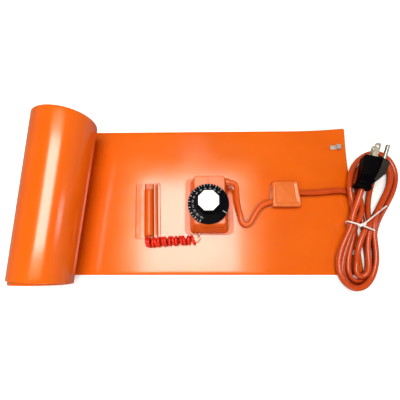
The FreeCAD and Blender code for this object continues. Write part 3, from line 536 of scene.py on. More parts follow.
def mesh_piece(name: str, verts: list[Vector], faces: list[Face], smooth: bool = True) -> bpy.types.Object:
    """A mesh object from points in millimetres.

    Args:
        name: The piece's name.
        verts: Its points.
        faces: Its faces, as rows of point numbers.
        smooth: Whether its faces are shaded smooth.

    Returns:
        The object, linked to the scene.
    """
    mesh = bpy.data.meshes.new(name)
    mesh.from_pydata([Vector(v) * MM for v in verts], [], faces)
    mesh.update()
    work = bmesh.new()
    work.from_mesh(mesh)
    bmesh.ops.recalc_face_normals(work, faces=work.faces)
    work.to_mesh(mesh)
    work.free()
    mesh.polygons.foreach_set("use_smooth", [smooth] * len(mesh.polygons))
    return link(name, mesh)


def loft_piece(name: str, rings: list[list[Vector]]) -> bpy.types.Object:
    """A closed mesh object through outlines of the same number of points.

    Args:
        name: The piece's name.
        rings: The outlines, in order.

    Returns:
        The object. Its side faces come first, outline by outline, and then its two ends.
    """
    size = len(rings[0])
    faces: list[Face] = []
    for row in range(len(rings) - 1):
        here = row * size
        there = here + size
        for k in range(size):
            beside = (k + 1) % size
            faces.append((here + k, here + beside, there + beside, there + k))
    last = (len(rings) - 1) * size
    faces.append(tuple(range(size)))
    faces.append(tuple(range(last, last + size)))
    return mesh_piece(name, [vert for ring in rings for vert in ring], faces)


def curve_piece(name: str, points: list[Spot], radius: float, closed: bool = False) -> bpy.types.Object:
    """A round cord along a smooth line through the neighbourhood of points in millimetres.

    Args:
        name: The piece's name.
        points: The line's control points.
        radius: The cord's radius.
        closed: Whether the line runs back to its start.

    Returns:
        The curve object, linked to the scene.
    """
    curve = bpy.data.curves.new(name, "CURVE")
    curve.dimensions = "3D"
    curve.bevel_depth = radius * MM
    curve.bevel_resolution = 7
    curve.use_fill_caps = True
    curve.resolution_u = 8
    line = curve.splines.new("NURBS")
    line.points.add(len(points) - 1)
    for knot, spot in zip(line.points, points):
        knot.co = (*(Vector(spot) * MM), 1)
    line.order_u = 3
    line.use_endpoint_u = not closed
    line.use_cyclic_u = closed
    return link(name, curve)


@dataclass(frozen=True)
class PhotoCamera:
    """The camera at the photograph's place, and where its pixels lie in space."""

    place: Spot = (-5.08, -74.74, 340.50)
    tilt: Spot = (14.825, 0.945, -0.031)
    lens: float = 23.345
    sensor: float = 36.0
    pixels: int = 400

    def build(self) -> bpy.types.Object:
        """Makes the camera and looks through it.

        Returns:
            The camera object.
        """
        data = bpy.data.cameras.new("photo_camera")
        data.lens = self.lens
        data.sensor_width = self.sensor
        data.clip_start = 0.01
        thing = link("photo_camera", data)
        thing.location = Vector(self.place) * MM
        thing.rotation_euler = self._turn()
        bpy.context.scene.camera = thing
        return thing

    def spot(self, across: float, down: float, height: float) -> Spot:
        """The place at a height that shows at a pixel of the photograph.

        Args:
            across: Pixels from the left edge.
            down: Pixels from the top edge.
            height: Height above the floor.

        Returns:
            The place in millimetres.
        """
        focal = self.lens / self.sensor * self.pixels
        half = self.pixels / 2
        ray = Vector(((across - half) / focal, (half - down) / focal, -1.0))
        ray.rotate(self._turn())
        share = (height - self.place[2]) / ray.z
        found = Vector(self.place) + ray * share
        return (found.x, found.y, found.z)

    def spots(self, marks: list[Spot]) -> list[Spot]:
        """The places of marks that give pixels across and down, and a height."""
        return [self.spot(*mark) for mark in marks]

    def _turn(self) -> Euler:
        """The camera's rotation."""
        return Euler([math.radians(angle) for angle in self.tilt])


@dataclass(frozen=True)
class Lamp:
    """A soft rectangular lamp."""

    name: str
    place: Spot
    aim: Spot
    wide: float
    deep: float
    watts: float
    colour: Colour = (1.0, 1.0, 1.0)
    seen_in_shine: bool = True

    def build(self) -> bpy.types.Object:
        """Hangs the lamp.

        Returns:
            The lamp.
        """
        data = bpy.data.lights.new(self.name, "AREA")
        data.shape = "RECTANGLE"
        data.size = self.wide * MM
        data.size_y = self.deep * MM
        data.energy = self.watts
        data.color = self.colour
        thing = link(self.name, data)
        thing.location = Vector(self.place) * MM
        thing.visible_glossy = self.seen_in_shine
        facing = Vector(self.aim) - Vector(self.place)
        thing.rotation_euler = facing.to_track_quat("-Z", "Y").to_euler()
        return thing


@dataclass(frozen=True)
class Studio:
    """The pale floor, the white surroundings and the soft lamps."""

    floor_half: float = 3000.0
    floor_level: float = -0.15
    # The floor's lightness to the camera and to everything else, and the light it adds for the camera
    paper: float = 0.94
    bounce: float = 0.30
    floor_lift: float = 0.36
    # The surroundings' light on plain faces, and in reflections from the side and from above
    room_light: float = 0.28
    side_seen: float = 0.14
    top_seen: float = 0.02
    # Where the side's light begins to give way to the top's, and where it has done so
    side_rise: float = 0.35
    top_rise: float = 0.70
    lamps: tuple[Lamp, ...] = (
        Lamp("overhead_panel", (-72, 105, 800), (-72, 105, 0), 430, 440, 4.0),
        Lamp("overhead_strip", (-50, 435, 800), (-50, 435, 0), 120, 180, 0.05),
        Lamp("warm_fringe", (-72, 105, 802), (-72, 105, 0), 590, 590, 1.9, (1.0, 0.74, 0.28)),
        Lamp("right_window", (1190, 60, 890), (-166, 0, 60), 190, 420, 0.9),
        Lamp("front_fill", (0, -720, 320), (0, 0, 20), 600, 260, 1.2),
        Lamp("left_fill", (-260, -300, 420), (-120, -20, 0), 300, 300, 0.6, seen_in_shine=False),
    )

    def build(self) -> None:
        """Makes the floor, the world and the lamps."""
        self._floor()
        self._world()
        for lamp in self.lamps:
            lamp.build()

    def _floor(self) -> None:
        """Makes the floor, which shows white to the camera and keeps its shadows."""
        half = self.floor_half
        signs = ((-1, -1), (1, -1), (1, 1), (-1, 1))
        corners = [Vector((x * half, y * half, self.floor_level)) for x, y in signs]
        floor = mesh_piece("floor", corners, [(0, 1, 2, 3)], smooth=False)
        material = bpy.data.materials.new("floor_paper")
        material.use_nodes = True
        board = NodeBoard(material.node_tree)
        board.tree.nodes.clear()
        paper = board.add("BsdfDiffuse", Color=(self.paper, self.paper, self.paper, 1))
        bounce = board.add("BsdfDiffuse", Color=(self.bounce, self.bounce, self.bounce, 1))
        light = board.add("Emission", Strength=self.floor_lift)
        both = board.add("AddShader")
        choice = board.add("MixShader")
        board.join(paper.outputs[0], both.inputs[0])
        board.join(light.outputs[0], both.inputs[1])
        board.join(board.add("LightPath").outputs["Is Camera Ray"], choice.inputs["Fac"])
        board.join(bounce.outputs[0], choice.inputs[1])
        board.join(both.outputs[0], choice.inputs[2])
        board.join(choice.outputs[0], board.add("OutputMaterial").inputs["Surface"])
        floor.data.materials.append(material)

    def _world(self) -> None:
        """Makes the surroundings: white where they are seen, and plain levels elsewhere."""
        world = bpy.data.worlds.new("white_room")
        bpy.context.scene.world = world
        world.use_nodes = True
        board = NodeBoard(world.node_tree)
        sky = board.tree.nodes["Background"]
        sky.inputs["Color"].default_value = (1.0, 1.0, 1.0, 1)
        rays = board.add("LightPath")
        split = board.add("SeparateXYZ")
        board.join(board.add("TexCoord").outputs["Generated"], split.inputs["Vector"])
        rise = board.add("MapRange", From_Min=self.side_rise, From_Max=self.top_rise)
        rise.inputs["To Min"].default_value = self.side_seen
        rise.inputs["To Max"].default_value = self.top_seen
        board.join(split.outputs["Z"], rise.inputs["Value"])
        unseen = board.add("Mix")
        unseen.inputs[MIX_FIRST].default_value = self.room_light
        board.join(rays.outputs["Is Glossy Ray"], unseen.inputs[MIX_FACTOR])
        board.join(rise.outputs["Result"], unseen.inputs[MIX_SECOND])
        level = board.add("Mix")
        level.inputs[MIX_SECOND].default_value = 1.0
        board.join(rays.outputs["Is Camera Ray"], level.inputs[MIX_FACTOR])
        board.join(unseen.outputs[0], level.inputs[MIX_FIRST])
        board.join(level.outputs[0], sky.inputs["Strength"])


@dataclass(frozen=True)
class HeaterBand:
    """The rubber band itself: flat at the right and wound into a roll at the left."""

    thick: float = 1.5
    wide: float = 200.0
    long: float = 860.0
    near_edge: float = -82.5
    right_edge: float = 194.0
    corner: float = 3.0
    curl_lift: float = 6.5
    curl_long: float = 74.0
    curl_wide: float = 72.0
    # Foot and radius of the roll's two ends
    roll_near: Flat = (-189.3, 35.2)
    roll_far: Flat = (-185.0, 40.6)
    # How much the radius shrinks in a turn, and how far the first turn slips along the roll
    pitch: float = 2.4
    shift: float = 9.4
    # Cuts in the rounding of both ends, and just behind it
    end_angles: tuple[float, ...] = (2, 25, 50, 90)
    end_steps: tuple[float, ...] = (1.2, 1.8, 2.4, 3.0, 4.0)
    flat_steps: int = 90
    wound_steps: int = 230
    across_steps: int = 50
    edge_angles: tuple[float, ...] = (30, 60, 90, 120, 150)
    most_turns: int = 4
    halvings: int = 40

    def build(self, shop: Workshop) -> bpy.types.Object:
        """Makes the band as one closed sheet with rounded edges.

        Args:
            shop: The finishes.

        Returns:
            The band.
        """
        band = loft_piece("rubber_band_sheet", [self._ring(along, thin) for along, thin in self._stations()])
        shop.mount(band, BAND, BLANKET)
        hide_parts("heater_sheet")
        return band

    def _stations(self) -> list[Flat]:
        """Where the band is cut.

        Returns:
            Lengths from the right end, each with the share of the band's thickness there.
        """
        half = self.thick / 2
        ends = [(half * (1 - math.cos(math.radians(a))), math.sin(math.radians(a))) for a in self.end_angles]
        rows = list(ends)
        rows += [(step, 1.0) for step in self.end_steps]
        begun = self.end_steps[-1]
        flat = self._flat_long()
        rows += [(begun + (flat - begun) * k / self.flat_steps, 1.0) for k in range(1, self.flat_steps + 1)]
        wound = self.long - flat - half
        rows += [(flat + wound * k / self.wound_steps, 1.0) for k in range(1, self.wound_steps + 1)]
        rows += [(self.long - gap, thin) for gap, thin in reversed(ends[:-1])]
        return rows

    def _flat_long(self) -> float:
        """Length of the flat part, along the band's middle."""
        return self.right_edge - (self.roll_near[0] + self.roll_far[0]) / 2

    def _turn(self, wound: float) -> float:
        """The angle wound up by a length of band, by halving the range that holds it.

        Args:
            wound: The length.

        Returns:
            The angle in radians.
        """
        mean = (self.roll_near[1] + self.roll_far[1] - self.thick) / 2
        low = 0.0
        high = 2 * math.pi * self.most_turns
        for _ in range(self.halvings):
            middle = (low + high) / 2
            drawn_in = self.pitch * (middle**2 / 2 + math.cos(middle) - 1) / (2 * math.pi)
            if mean * middle - drawn_in < wound:
                low = middle
            else:
                high = middle
        return low

    def _edge_spot(self, along: float, far: bool) -> tuple[Vector, Vector]:
        """A place on one long edge, halfway through the thickness, and the band's normal there.

        Args:
            along: Length from the right end.
            far: Whether it is the far edge.

        Returns:
            The place and the normal of the upper or inner face.
        """
        foot_x, radius = self.roll_far if far else self.roll_near
        edge_y = self.near_edge + (self.wide if far else 0.0)
        flat = self._flat_long()
        half = self.thick / 2
        if along <= flat:
            x = self.right_edge + (foot_x - self.right_edge) * along / flat
            return Vector((x, edge_y, half)), Vector((0, 0, 1))
        turn = self._turn(along - flat)
        axis = Vector((self.roll_far[0] - self.roll_near[0], self.wide, 0)).normalized()
        reach = radius - self.pitch * (turn - math.sin(turn)) / (2 * math.pi) - half
        out = Vector((-math.sin(turn), 0, -math.cos(turn)))
        slip = axis * (-self.shift * math.sin(min(turn, 2 * math.pi) / 4))
        return Vector((foot_x, edge_y, radius)) + out * reach + slip, -out

    def _ring(self, along: float, thin: float) -> list[Vector]:
        """The closed outline of the band's cut at one place along it.

        Args:
            along: Length from the right end.
            thin: Share of the thickness.

        Returns:
            The outline's points.
        """
        near, near_up = self._edge_spot(along, False)
        far, far_up = self._edge_spot(along, True)
        half = self.thick / 2 * thin
        trim = 0.0
        if along < self.corner:
            trim = self.corner - math.sqrt(max(0.0, self.corner**2 - (self.corner - along) ** 2))
        inset = (trim + self.thick / 2) / self.wide
        steps = self.across_steps
        points = []
        for side in (-1, 1):
            order = range(steps + 1) if side < 0 else range(steps, -1, -1)
            for k in order:
                share = inset + (1 - 2 * inset) * k / steps
                points.append(self._lifted(near.lerp(far, share), near_up.lerp(far_up, share), side * half))
            up = far_up if side < 0 else near_up
            outward = (far - near).normalized() * (1 if side < 0 else -1)
            start = near.lerp(far, (1 - inset) if side < 0 else inset)
            for angle in self.edge_angles:
                turn = math.radians(angle)
                spot = start + outward * (self.thick / 2 * thin * math.sin(turn))
                points.append(self._lifted(spot, up, side * half * math.cos(turn)))
        return points

    def _lifted(self, spot: Vector, up: Vector, rise: float) -> Vector:
        """A place moved along the normal, and lifted where the far corner has curled up.

        Args:
            spot: The place, halfway through the thickness.
            up: The band's normal there.
            rise: How far it moves along the normal.

        Returns:
            The moved place.
        """
        along = max(0.0, (spot.x - self.right_edge) / self.curl_long + 1)
        across = max(0.0, (spot.y - self.near_edge - self.wide) / self.curl_wide + 1)
        on_the_flat = spot.z < 2 * self.thick
        lift = self.curl_lift * along**2 * across**2 if on_the_flat else 0.0
        return spot + up.normalized() * rise + Vector((0, 0, lift))


@dataclass(frozen=True)
class PowerCord:
    """The power cord: out of the joint cover, round its tied hank and up to the plug."""

    camera: PhotoCamera
    radius: float = 3.5
    length: float = 1.49

    def build(self, shop: Workshop, plug_pieces: list[bpy.types.Object]) -> bpy.types.Object:
        """Makes the cord as one smooth line.

        Args:
            shop: The finishes.
            plug_pieces: The plug's pieces and the tie; not used.

        Returns:
            The cord.
        """
        points = self._feed() + self.camera.spots(self._hank_marks()) + self._plug_end()
        cord = curve_piece("power_cord_line", points, self.radius)
        shop.mount(cord, JACKET, BLANKET)
        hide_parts("power_cord", "cord_hank", "plug_tail")
        return cord

    def _feed(self) -> list[Spot]:
        """The run from the joint cover to the hank."""
        return [(118.7, 23.4, 5.15), (141.5, 22.9, 5.15), (164.5, 25.4, 5.15), (182.0, 26.4, 5.15)]

    def _hank_marks(self) -> list[Spot]:
        """The hank's turns, from the joint cover's side to the plug's.

        Returns:
            Marks that give pixels across and down in the photograph, and heights.
        """
        first_lower = [
            (353.5, 194.5, 5.1), (358.0, 204.0, 5.2), (361.0, 215.0, 5.3), (363.5, 227.0, 5.3),
            (364.2, 240.0, 4.8), (366.8, 252.5, 4.2), (367.8, 265.0, 4.2), (366.0, 277.0, 4.4),
            (359.2, 282.3, 5.0), (351.3, 279.7, 5.1), (347.4, 269.0, 5.1), (348.6, 255.5, 5.1),
            (352.2, 242.0, 5.2), (355.0, 229.0, 5.3),
        ]
        first_upper = [
            (355.0, 215.0, 6.0), (352.0, 201.5, 10.5), (349.4, 188.0, 12.4), (350.0, 174.0, 9.0),
            (356.0, 161.5, 4.4), (367.0, 153.8, 3.7), (379.1, 152.8, 3.7), (390.1, 160.5, 3.7),
            (395.6, 174.0, 3.7), (393.9, 188.5, 3.7), (387.6, 202.5, 3.8), (379.6, 216.0, 4.6),
            (374.5, 229.0, 5.2),
        ]
        second_lower = [
            (373.5, 242.0, 4.2), (375.3, 255.0, 3.8), (375.3, 268.0, 3.8), (370.5, 280.0, 3.8),
            (362.5, 287.3, 4.4), (351.0, 286.5, 5.1), (343.5, 278.0, 5.1), (341.7, 265.5, 5.1),
            (344.5, 252.5, 5.1), (349.0, 240.0, 6.5), (352.8, 228.0, 9.5),
        ]
        second_upper = [
            (361.5, 215.5, 11.0), (361.5, 203.0, 6.8), (356.4, 190.0, 5.6), (354.8, 177.0, 4.2),
            (359.2, 167.4, 3.8), (367.5, 160.2, 3.7), (381.8, 160.0, 3.7), (388.3, 168.0, 3.7),
            (389.8, 179.5, 3.7), (387.1, 192.0, 3.9), (380.8, 204.5, 5.5), (374.0, 217.0, 9.5),
            (365.5, 228.0, 12.8),
        ]
        third_lower = [
            (361.0, 239.5, 12.5), (357.6, 250.5, 10.5), (356.6, 262.0, 7.0), (355.7, 269.9, 6.6),
            (357.2, 274.9, 6.8), (362.1, 277.0, 7.6), (366.8, 273.9, 9.0), (368.6, 269.3, 10.4),
            (368.8, 261.0, 11.3), (367.5, 249.0, 11.4), (367.8, 238.5, 11.8), (370.6, 226.5, 12.0),
        ]
        third_upper = [
            (367.4, 214.0, 9.0), (367.6, 202.0, 6.0), (369.6, 190.0, 4.2), (372.6, 180.0, 3.8),
            (374.2, 172.5, 4.1), (376.6, 166.2, 5.0), (382.0, 163.4, 6.8), (387.6, 165.8, 9.0),
            (390.2, 171.6, 10.4), (390.6, 179.0, 10.6), (387.3, 190.5, 10.6), (381.8, 201.5, 11.0),
            (376.5, 212.5, 12.0), (373.8, 224.5, 12.6),
        ]
        fourth_lower = [
            (374.0, 237.5, 12.0), (375.8, 250.5, 11.0), (376.0, 264.0, 10.8), (372.0, 278.0, 10.8),
            (364.5, 287.0, 11.0), (354.5, 289.0, 11.0), (346.2, 284.0, 9.8), (340.2, 275.5, 9.2),
            (338.3, 263.5, 9.0), (340.4, 251.0, 9.0), (345.2, 239.0, 10.5), (350.8, 227.5, 13.5),
        ]
        first_turns = first_lower + first_upper + second_lower + second_upper
        return first_turns + third_lower + third_upper + fourth_lower

    def _plug_end(self) -> list[Spot]:
        """The last run, out of the hank and up into the plug's collar."""
        return [(181.5, -11.0, 16.5), (186.5, 0.0, 17.6), (191.4, 11.6, 19.7), (195.6, 24.0, 22.3)]


@dataclass(frozen=True)
class CordTie:
    """The white tie round the hank's waist, with its twisted knot and long tail."""

    camera: PhotoCamera
    radius: float = 0.95
    knot_share: float = 1.5

    def build(self, shop: Workshop) -> list[bpy.types.Object]:
        """Makes the ring, the knot and the tail.

        Args:
            shop: The finishes.

        Returns:
            The tie's pieces.
        """
        over = [
            (346.0, 221.0, 12.5), (350.2, 221.8, 19.5), (356.5, 223.6, 21.3),
            (362.6, 225.4, 21.0), (370.8, 228.8, 19.0), (379.0, 232.2, 10.0),
        ]
        under = [(209.5, -27.6, 2.6), (195.0, -23.0, 2.6), (180.0, -18.3, 2.6)]
        loose = [
            (361.0, 225.0, 21.0), (366.0, 222.5, 21.5), (372.0, 217.5, 20.0),
            (380.0, 211.0, 14.0), (386.5, 206.0, 9.0),
        ]
        twist = [
            (358.5, 224.2, 21.2), (360.5, 226.6, 22.4), (362.0, 223.8, 23.2),
            (363.6, 226.0, 22.4), (365.5, 223.6, 21.5),
        ]
        pieces = [
            curve_piece("tie_ring", self.camera.spots(over) + under, self.radius, closed=True),
            curve_piece("tie_tail", self.camera.spots(loose), self.radius),
            curve_piece("tie_knot", self.camera.spots(twist), self.radius * self.knot_share),
        ]
        for piece in pieces:
            shop.mount(piece, TIE_WHITE, BLANKET)
            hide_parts("cord_tie")
        return pieces


@dataclass(frozen=True)
class ThermostatLead:
    """The cord from the housing's grommet down over the band to the joint cover."""

    radius: float = 3.5
    lying: float = 5.15

    def build(self, shop: Workshop) -> bpy.types.Object:
        """Makes the lead.

        Args:
            shop: The finishes.

        Returns:
            The lead.
        """
        down = [
            (22.8, 33.0, 21.0), (28.8, 33.1, 21.0), (33.8, 32.4, 20.8), (37.0, 28.2, 18.8),
            (37.2, 21.6, 15.6), (38.2, 12.0, 11.0), (40.2, 1.5, 7.6), (42.4, -6.5, 5.65),
        ]
        along = [
            (43.2, -12.1), (44.3, -16.0), (47.2, -18.8), (51.0, -19.4), (54.6, -17.5),
            (57.4, -13.6), (61.4, -6.4), (66.4, 1.4), (75.4, 9.6), (87.4, 11.2),
        ]
        points = down + [(x, y, self.lying) for x, y in along]
        lead = curve_piece("thermostat_lead_line", points, self.radius)
        shop.mount(lead, LEAD_JACKET, BLANKET)
        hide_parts("thermostat_lead")
        return lead


@dataclass(frozen=True)
class CoiledCapillary:
    """The thermostat's capillary in its red sleeve, wound into a loose coil."""

    coil_radius: float = 4.4
    sleeve_radius: float = 2.0
    turns: float = 13.5
    points_per_turn: int = 12
    # How much wider the turns stand towards the housing, and how they vary and lean
    slack: float = 0.18
    uneven: float = 0.07
    lean: float = 0.9
    start: tuple[Spot, ...] = ((-76.8, -35.2, 5.4), (-77.8, -37.0, 6.1))
    axis: tuple[Spot, ...] = (
        (-79.5, -42.4, 8.2), (-68, -42.0, 8.2), (-50, -40.4, 8.2), (-32, -39.6, 8.2), (-18.5, -39.4, 8.2),
    )

    def build(self, shop: Workshop) -> bpy.types.Object:
        """Makes the coil.

        Args:
            shop: The finishes.

        Returns:
            The coil.
        """
        points = list(self.start)
        count = int(self.turns * self.points_per_turn)
        for k in range(count + 1):
            spot = self._on_axis(self._spaced(k / count))
            turn = 2 * math.pi * self.turns * k / count
            wobble = 1 + self.uneven * math.sin(1.7 * turn) * math.cos(0.37 * turn)
            reach = self.coil_radius * wobble
            x = spot.x + self.lean * math.sin(0.61 * turn)
            points.append((x, spot.y + reach * math.cos(turn), spot.z + reach * math.sin(turn)))
        coil = curve_piece("capillary_coil_line", points, self.sleeve_radius)
        shop.mount(coil, SLEEVE, BLANKET)
        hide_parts("capillary_coil")
        return coil

    def _spaced(self, share: float) -> float:
        """Closer turns at the sensor, and looser ones towards the housing."""
        return (1 - self.slack) * share + self.slack * share**2

    def _on_axis(self, share: float) -> Vector:
        """A place on the line that the coil winds round.

        Args:
            share: Share of the line's length.

        Returns:
            The place.
        """
        path = [Vector(spot) for spot in self.axis]
        lengths = [(b - a).length for a, b in zip(path, path[1:])]
        left = share * sum(lengths)
        for start, end, length in zip(path, path[1:], lengths):
            if left <= length:
                return start.lerp(end, left / length)
            left -= length
        return path[-1]


@dataclass(frozen=True)
class CapillaryTail:
    """The bare capillary between the coil and the housing, with its small open loop."""

    radius: float = 0.75

    def build(self, shop: Workshop) -> bpy.types.Object:
        """Makes the bare wire.

        Args:
            shop: The finishes.

        Returns:
            The wire.
        """
        points = [
            (-18.6, -43.6, 8.6), (-17.9, -43.3, 6.4), (-15.2, -41.6, 5.7), (-11.6, -39.5, 6.0),
            (-10.2, -36.9, 5.5), (-11.9, -34.9, 5.5), (-14.2, -34.1, 5.6), (-13.2, -32.3, 5.8),
            (-11.2, -33.0, 6.0), (-11.2, -29.8, 6.2),
        ]
        wire = curve_piece("capillary_tail_line", points, self.radius)
        shop.mount(wire, COPPER, BLANKET)
        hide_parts("capillary_tail")
        return wire


@dataclass(frozen=True)
class JointCover:
    """The moulded pad over the joint of the leads: a rounded rim round a shallow, uneven dish."""

    middle: Spot = (103.7, 21.2, 1.5)
    near_wide: float = 38.0
    far_wide: float = 34.0
    deep: float = 34.5
    # Radius of its corners, how much it shrinks as they are drawn in, and its least
    corner: float = 3.5
    corner_loss: float = 0.6
    least_corner: float = 1.0
    corner_steps: int = 6
    side_steps: int = 9
    # Outlines from the foot to the middle of the dish: how far each is drawn in, and its height
    levels: tuple[Flat, ...] = (
        (0.0, 0.0), (0.0, 2.0), (0.0, 4.5), (0.05, 6.6), (0.3, 7.5), (0.8, 8.3), (1.5, 8.8), (2.4, 9.0),
        (3.2, 8.85), (3.9, 8.4), (4.6, 8.05), (6.0, 7.95), (8.5, 8.0), (11.5, 8.1), (14.0, 8.1),
    )
    # Height above which the poured top is uneven
    dish_above: float = 7.0

    def build(self, shop: Workshop) -> bpy.types.Object:
        """Makes the pad from outlines drawn in towards its middle.

        Args:
            shop: The finishes.

        Returns:
            The pad.
        """
        rings = []
        for inset, height in self.levels:
            ring = []
            for x, y in self._outline(inset):
                sag = self._unevenness(x, y) if height > self.dish_above else 0.0
                ring.append(Vector(self.middle) + Vector((x, y, height + sag)))
            rings.append(ring)
        pad = loft_piece("joint_cover_pad", rings)
        shop.mount(pad, COVER, BLANKET)
        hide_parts("joint_cover")
        return pad

    def _unevenness(self, x: float, y: float) -> float:
        """How far the hand-poured top lies above or under its plain level."""
        swell = 0.16 * math.sin(0.55 * x + 0.4) * math.cos(0.47 * y)
        return swell - 0.10 + 0.10 * math.sin(0.9 * y - 0.3 * x)

    def _outline(self, inset: float) -> list[Flat]:
        """The pad's rounded outline.

        Args:
            inset: How far it is drawn in.

        Returns:
            Its points, round the corners and along the sides.
        """
        near = self.near_wide / 2 - inset
        far = self.far_wide / 2 - inset
        half = self.deep / 2 - inset
        bend = max(self.least_corner, self.corner - self.corner_loss * inset)
        count = self.corner_steps + 1
        bends = []
        for x, y, start in ((near, -half, -90), (far, half, 0), (-far, half, 90), (-near, -half, 180)):
            middle_x = x - math.copysign(bend, x)
            middle_y = y - math.copysign(bend, y)
            for step in range(count):
                turn = math.radians(start + 90 / self.corner_steps * step)
                bends.append((middle_x + bend * math.cos(turn), middle_y + bend * math.sin(turn)))
        full = []
        for k, (x, y) in enumerate(bends):
            full.append((x, y))
            if k % count == count - 1:
                next_x, next_y = bends[(k + 1) % len(bends)]
                for part in range(1, self.side_steps):
                    share = part / self.side_steps
                    full.append((x + (next_x - x) * share, y + (next_y - y) * share))
        return full


@dataclass(frozen=True)
class SensorPocket:
    """The bonded strip over the sensor: a round ridge, flat borders and a pressed crease beside it."""

    middle: Spot = (-80.2, 0.8, 1.5)
    turn: float = 2.9
    half_wide: float = 16.75
    half_long: float = 37.25
    thick: float = 1.0
    corner: float = 2.0
    ridge_aside: float = 2.0
    ridge_radius: float = 5.4
    ridge_up: float = 2.0
    ridge_start: float = -35.2
    ridge_stop: float = 28.8
    ridge_slope: float = 1.6
    crease_at: float = 11.2
    crease_high: float = 0.75
    # How far from the strip's ends the crease ends, and over what length it fades
    crease_gap: float = 3.0
    crease_fade: float = 4.0
    ripple: float = 0.10
    # Distances of the cuts from both ends of the strip and of the ridge
    end_gaps: tuple[float, ...] = (0.0, 0.2, 0.6, 1.2, 2.0)
    slope_gaps: tuple[float, ...] = (0.0, 0.15, 0.5, 1.0, 1.8, 3.0)
    # Cuts along the ridge: the first, their distance and their number
    first_cut: float = -31.0
    cut_step: float = 2.0
    cuts: int = 29
    # The ridge's arch: its points, and the angles in degrees where it starts and how far it runs
    arch_points: int = 23
    arch_start: float = 188.0
    arch_sweep: float = 196.0
    # Numbers of the faces across the strip that take painted shade: the darkest in the creases, at the
    # strip's edges and on the ridge's right side, and a lighter one on the rest of the ridge
    painted_shade_faces: tuple[int, ...] = (0, 1, 8, 9, 29, 30, 31, 32, 33, 36, 40, 43, 44)
    ridge_faces: range = range(10, 29)

    def build(self, shop: Workshop) -> bpy.types.Object:
        """Makes the strip from cuts across it, one after the other along its length.

        Args:
            shop: The finishes.

        Returns:
            The strip.
        """
        placing = Matrix.Translation(Vector(self.middle)) @ Matrix.Rotation(math.radians(self.turn), 4, "Z")
        rings = []
        for y, narrow in self._stations():
            cut = self._cut(self._ridge_share(y), y)
            rings.append([placing @ Vector((x * narrow, y, z)) for x, z in cut])
        strip = loft_piece("sensor_pocket_strip", rings)
        shop.mount(strip, POCKET, BLANKET)
        # Painted shade on the creases, the edges and the ridge, as second and third materials
        strip.data.materials.append(shop.finish(POCKET_PAINTED_SHADE))
        strip.data.materials.append(shop.finish(POCKET_RIDGE_SHADE))
        size = len(rings[0])
        for number, face in enumerate(strip.data.polygons[: (len(rings) - 1) * size]):
            if number % size in self.painted_shade_faces:
                face.material_index = 1
            elif number % size in self.ridge_faces:
                face.material_index = 2
        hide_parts("bulb_pocket")
        return strip

    def _stations(self) -> list[Flat]:
        """Where the strip is cut.

        Returns:
            Places along it, each with the share of its width there.
        """
        places = {-self.half_long + gap for gap in self.end_gaps}
        places |= {self.half_long - gap for gap in self.end_gaps}
        places |= {self.ridge_start + gap for gap in self.slope_gaps}
        places |= {self.ridge_stop - gap for gap in self.slope_gaps}
        places |= {self.ridge_start - 0.3, self.ridge_stop + 0.4}
        places |= {self.first_cut + self.cut_step * k for k in range(self.cuts)}
        rows = []
        for y in sorted(places):
            left = self.half_long - abs(y)
            trim = 0.0
            if left < self.corner:
                trim = self.corner - math.sqrt(max(0.0, self.corner**2 - (self.corner - left) ** 2))
            rows.append((y, 1 - trim / self.half_wide))
        return rows

    def _ridge_share(self, y: float) -> float:
        """How far the ridge has risen at a place along the strip.

        Args:
            y: The place.

        Returns:
            The share of its full height.
        """
        inside = min(y - self.ridge_start, self.ridge_stop - y)
        if inside <= 0:
            return 0.0
        return math.sqrt(min(1.0, 1 - (1 - min(1.0, inside / self.ridge_slope)) ** 2))

    def _cut(self, share: float, y: float) -> list[Flat]:
        """The closed outline of a cut across the strip.

        Args:
            share: Share of the ridge's full height.
            y: The place along the strip.

        Returns:
            The outline, across and up.
        """
        half = self.half_wide
        flat = self.thick
        ripple = self.ripple * math.sin(0.31 * y)
        left = [(-half, 0.0), (-half, flat * 0.6), (-half + 0.25, flat * 0.92), (-half + 0.6, flat)]
        left += [(-half + 2.0, flat), (-half + 6.0, flat + ripple), (-half + 9.5, flat + 0.12), (-5.2, flat)]
        left += [(-4.2, flat + 0.05 * share), (-3.75, flat + 0.35 * share)]
        arch = []
        for k in range(self.arch_points):
            angle = math.radians(self.arch_start - self.arch_sweep * k / (self.arch_points - 1))
            x = self.ridge_aside + self.ridge_radius * math.cos(angle) * (0.86 + 0.14 * share)
            z = self.ridge_up + self.ridge_radius * math.sin(angle)
            arch.append((x, flat + (z - flat) * share))
        inside = (self.half_long - self.crease_gap - abs(y)) / self.crease_fade
        crease = self.crease_high * min(1.0, max(0.0, inside))
        right = [(7.75, flat + 0.35 * share), (8.2, flat + 0.05 * share), (9.4, flat)]
        right += [(self.crease_at - 0.7, flat), (self.crease_at - 0.3, flat + crease * 0.8)]
        right += [(self.crease_at, flat + crease), (self.crease_at + 0.3, flat + crease * 0.8)]
        right += [(self.crease_at + 0.7, flat), (half - 3.0, flat - ripple)]
        right += [(half - 0.6, flat), (half - 0.25, flat * 0.92), (half, flat * 0.6), (half, 0.0)]
        return left + arch + right


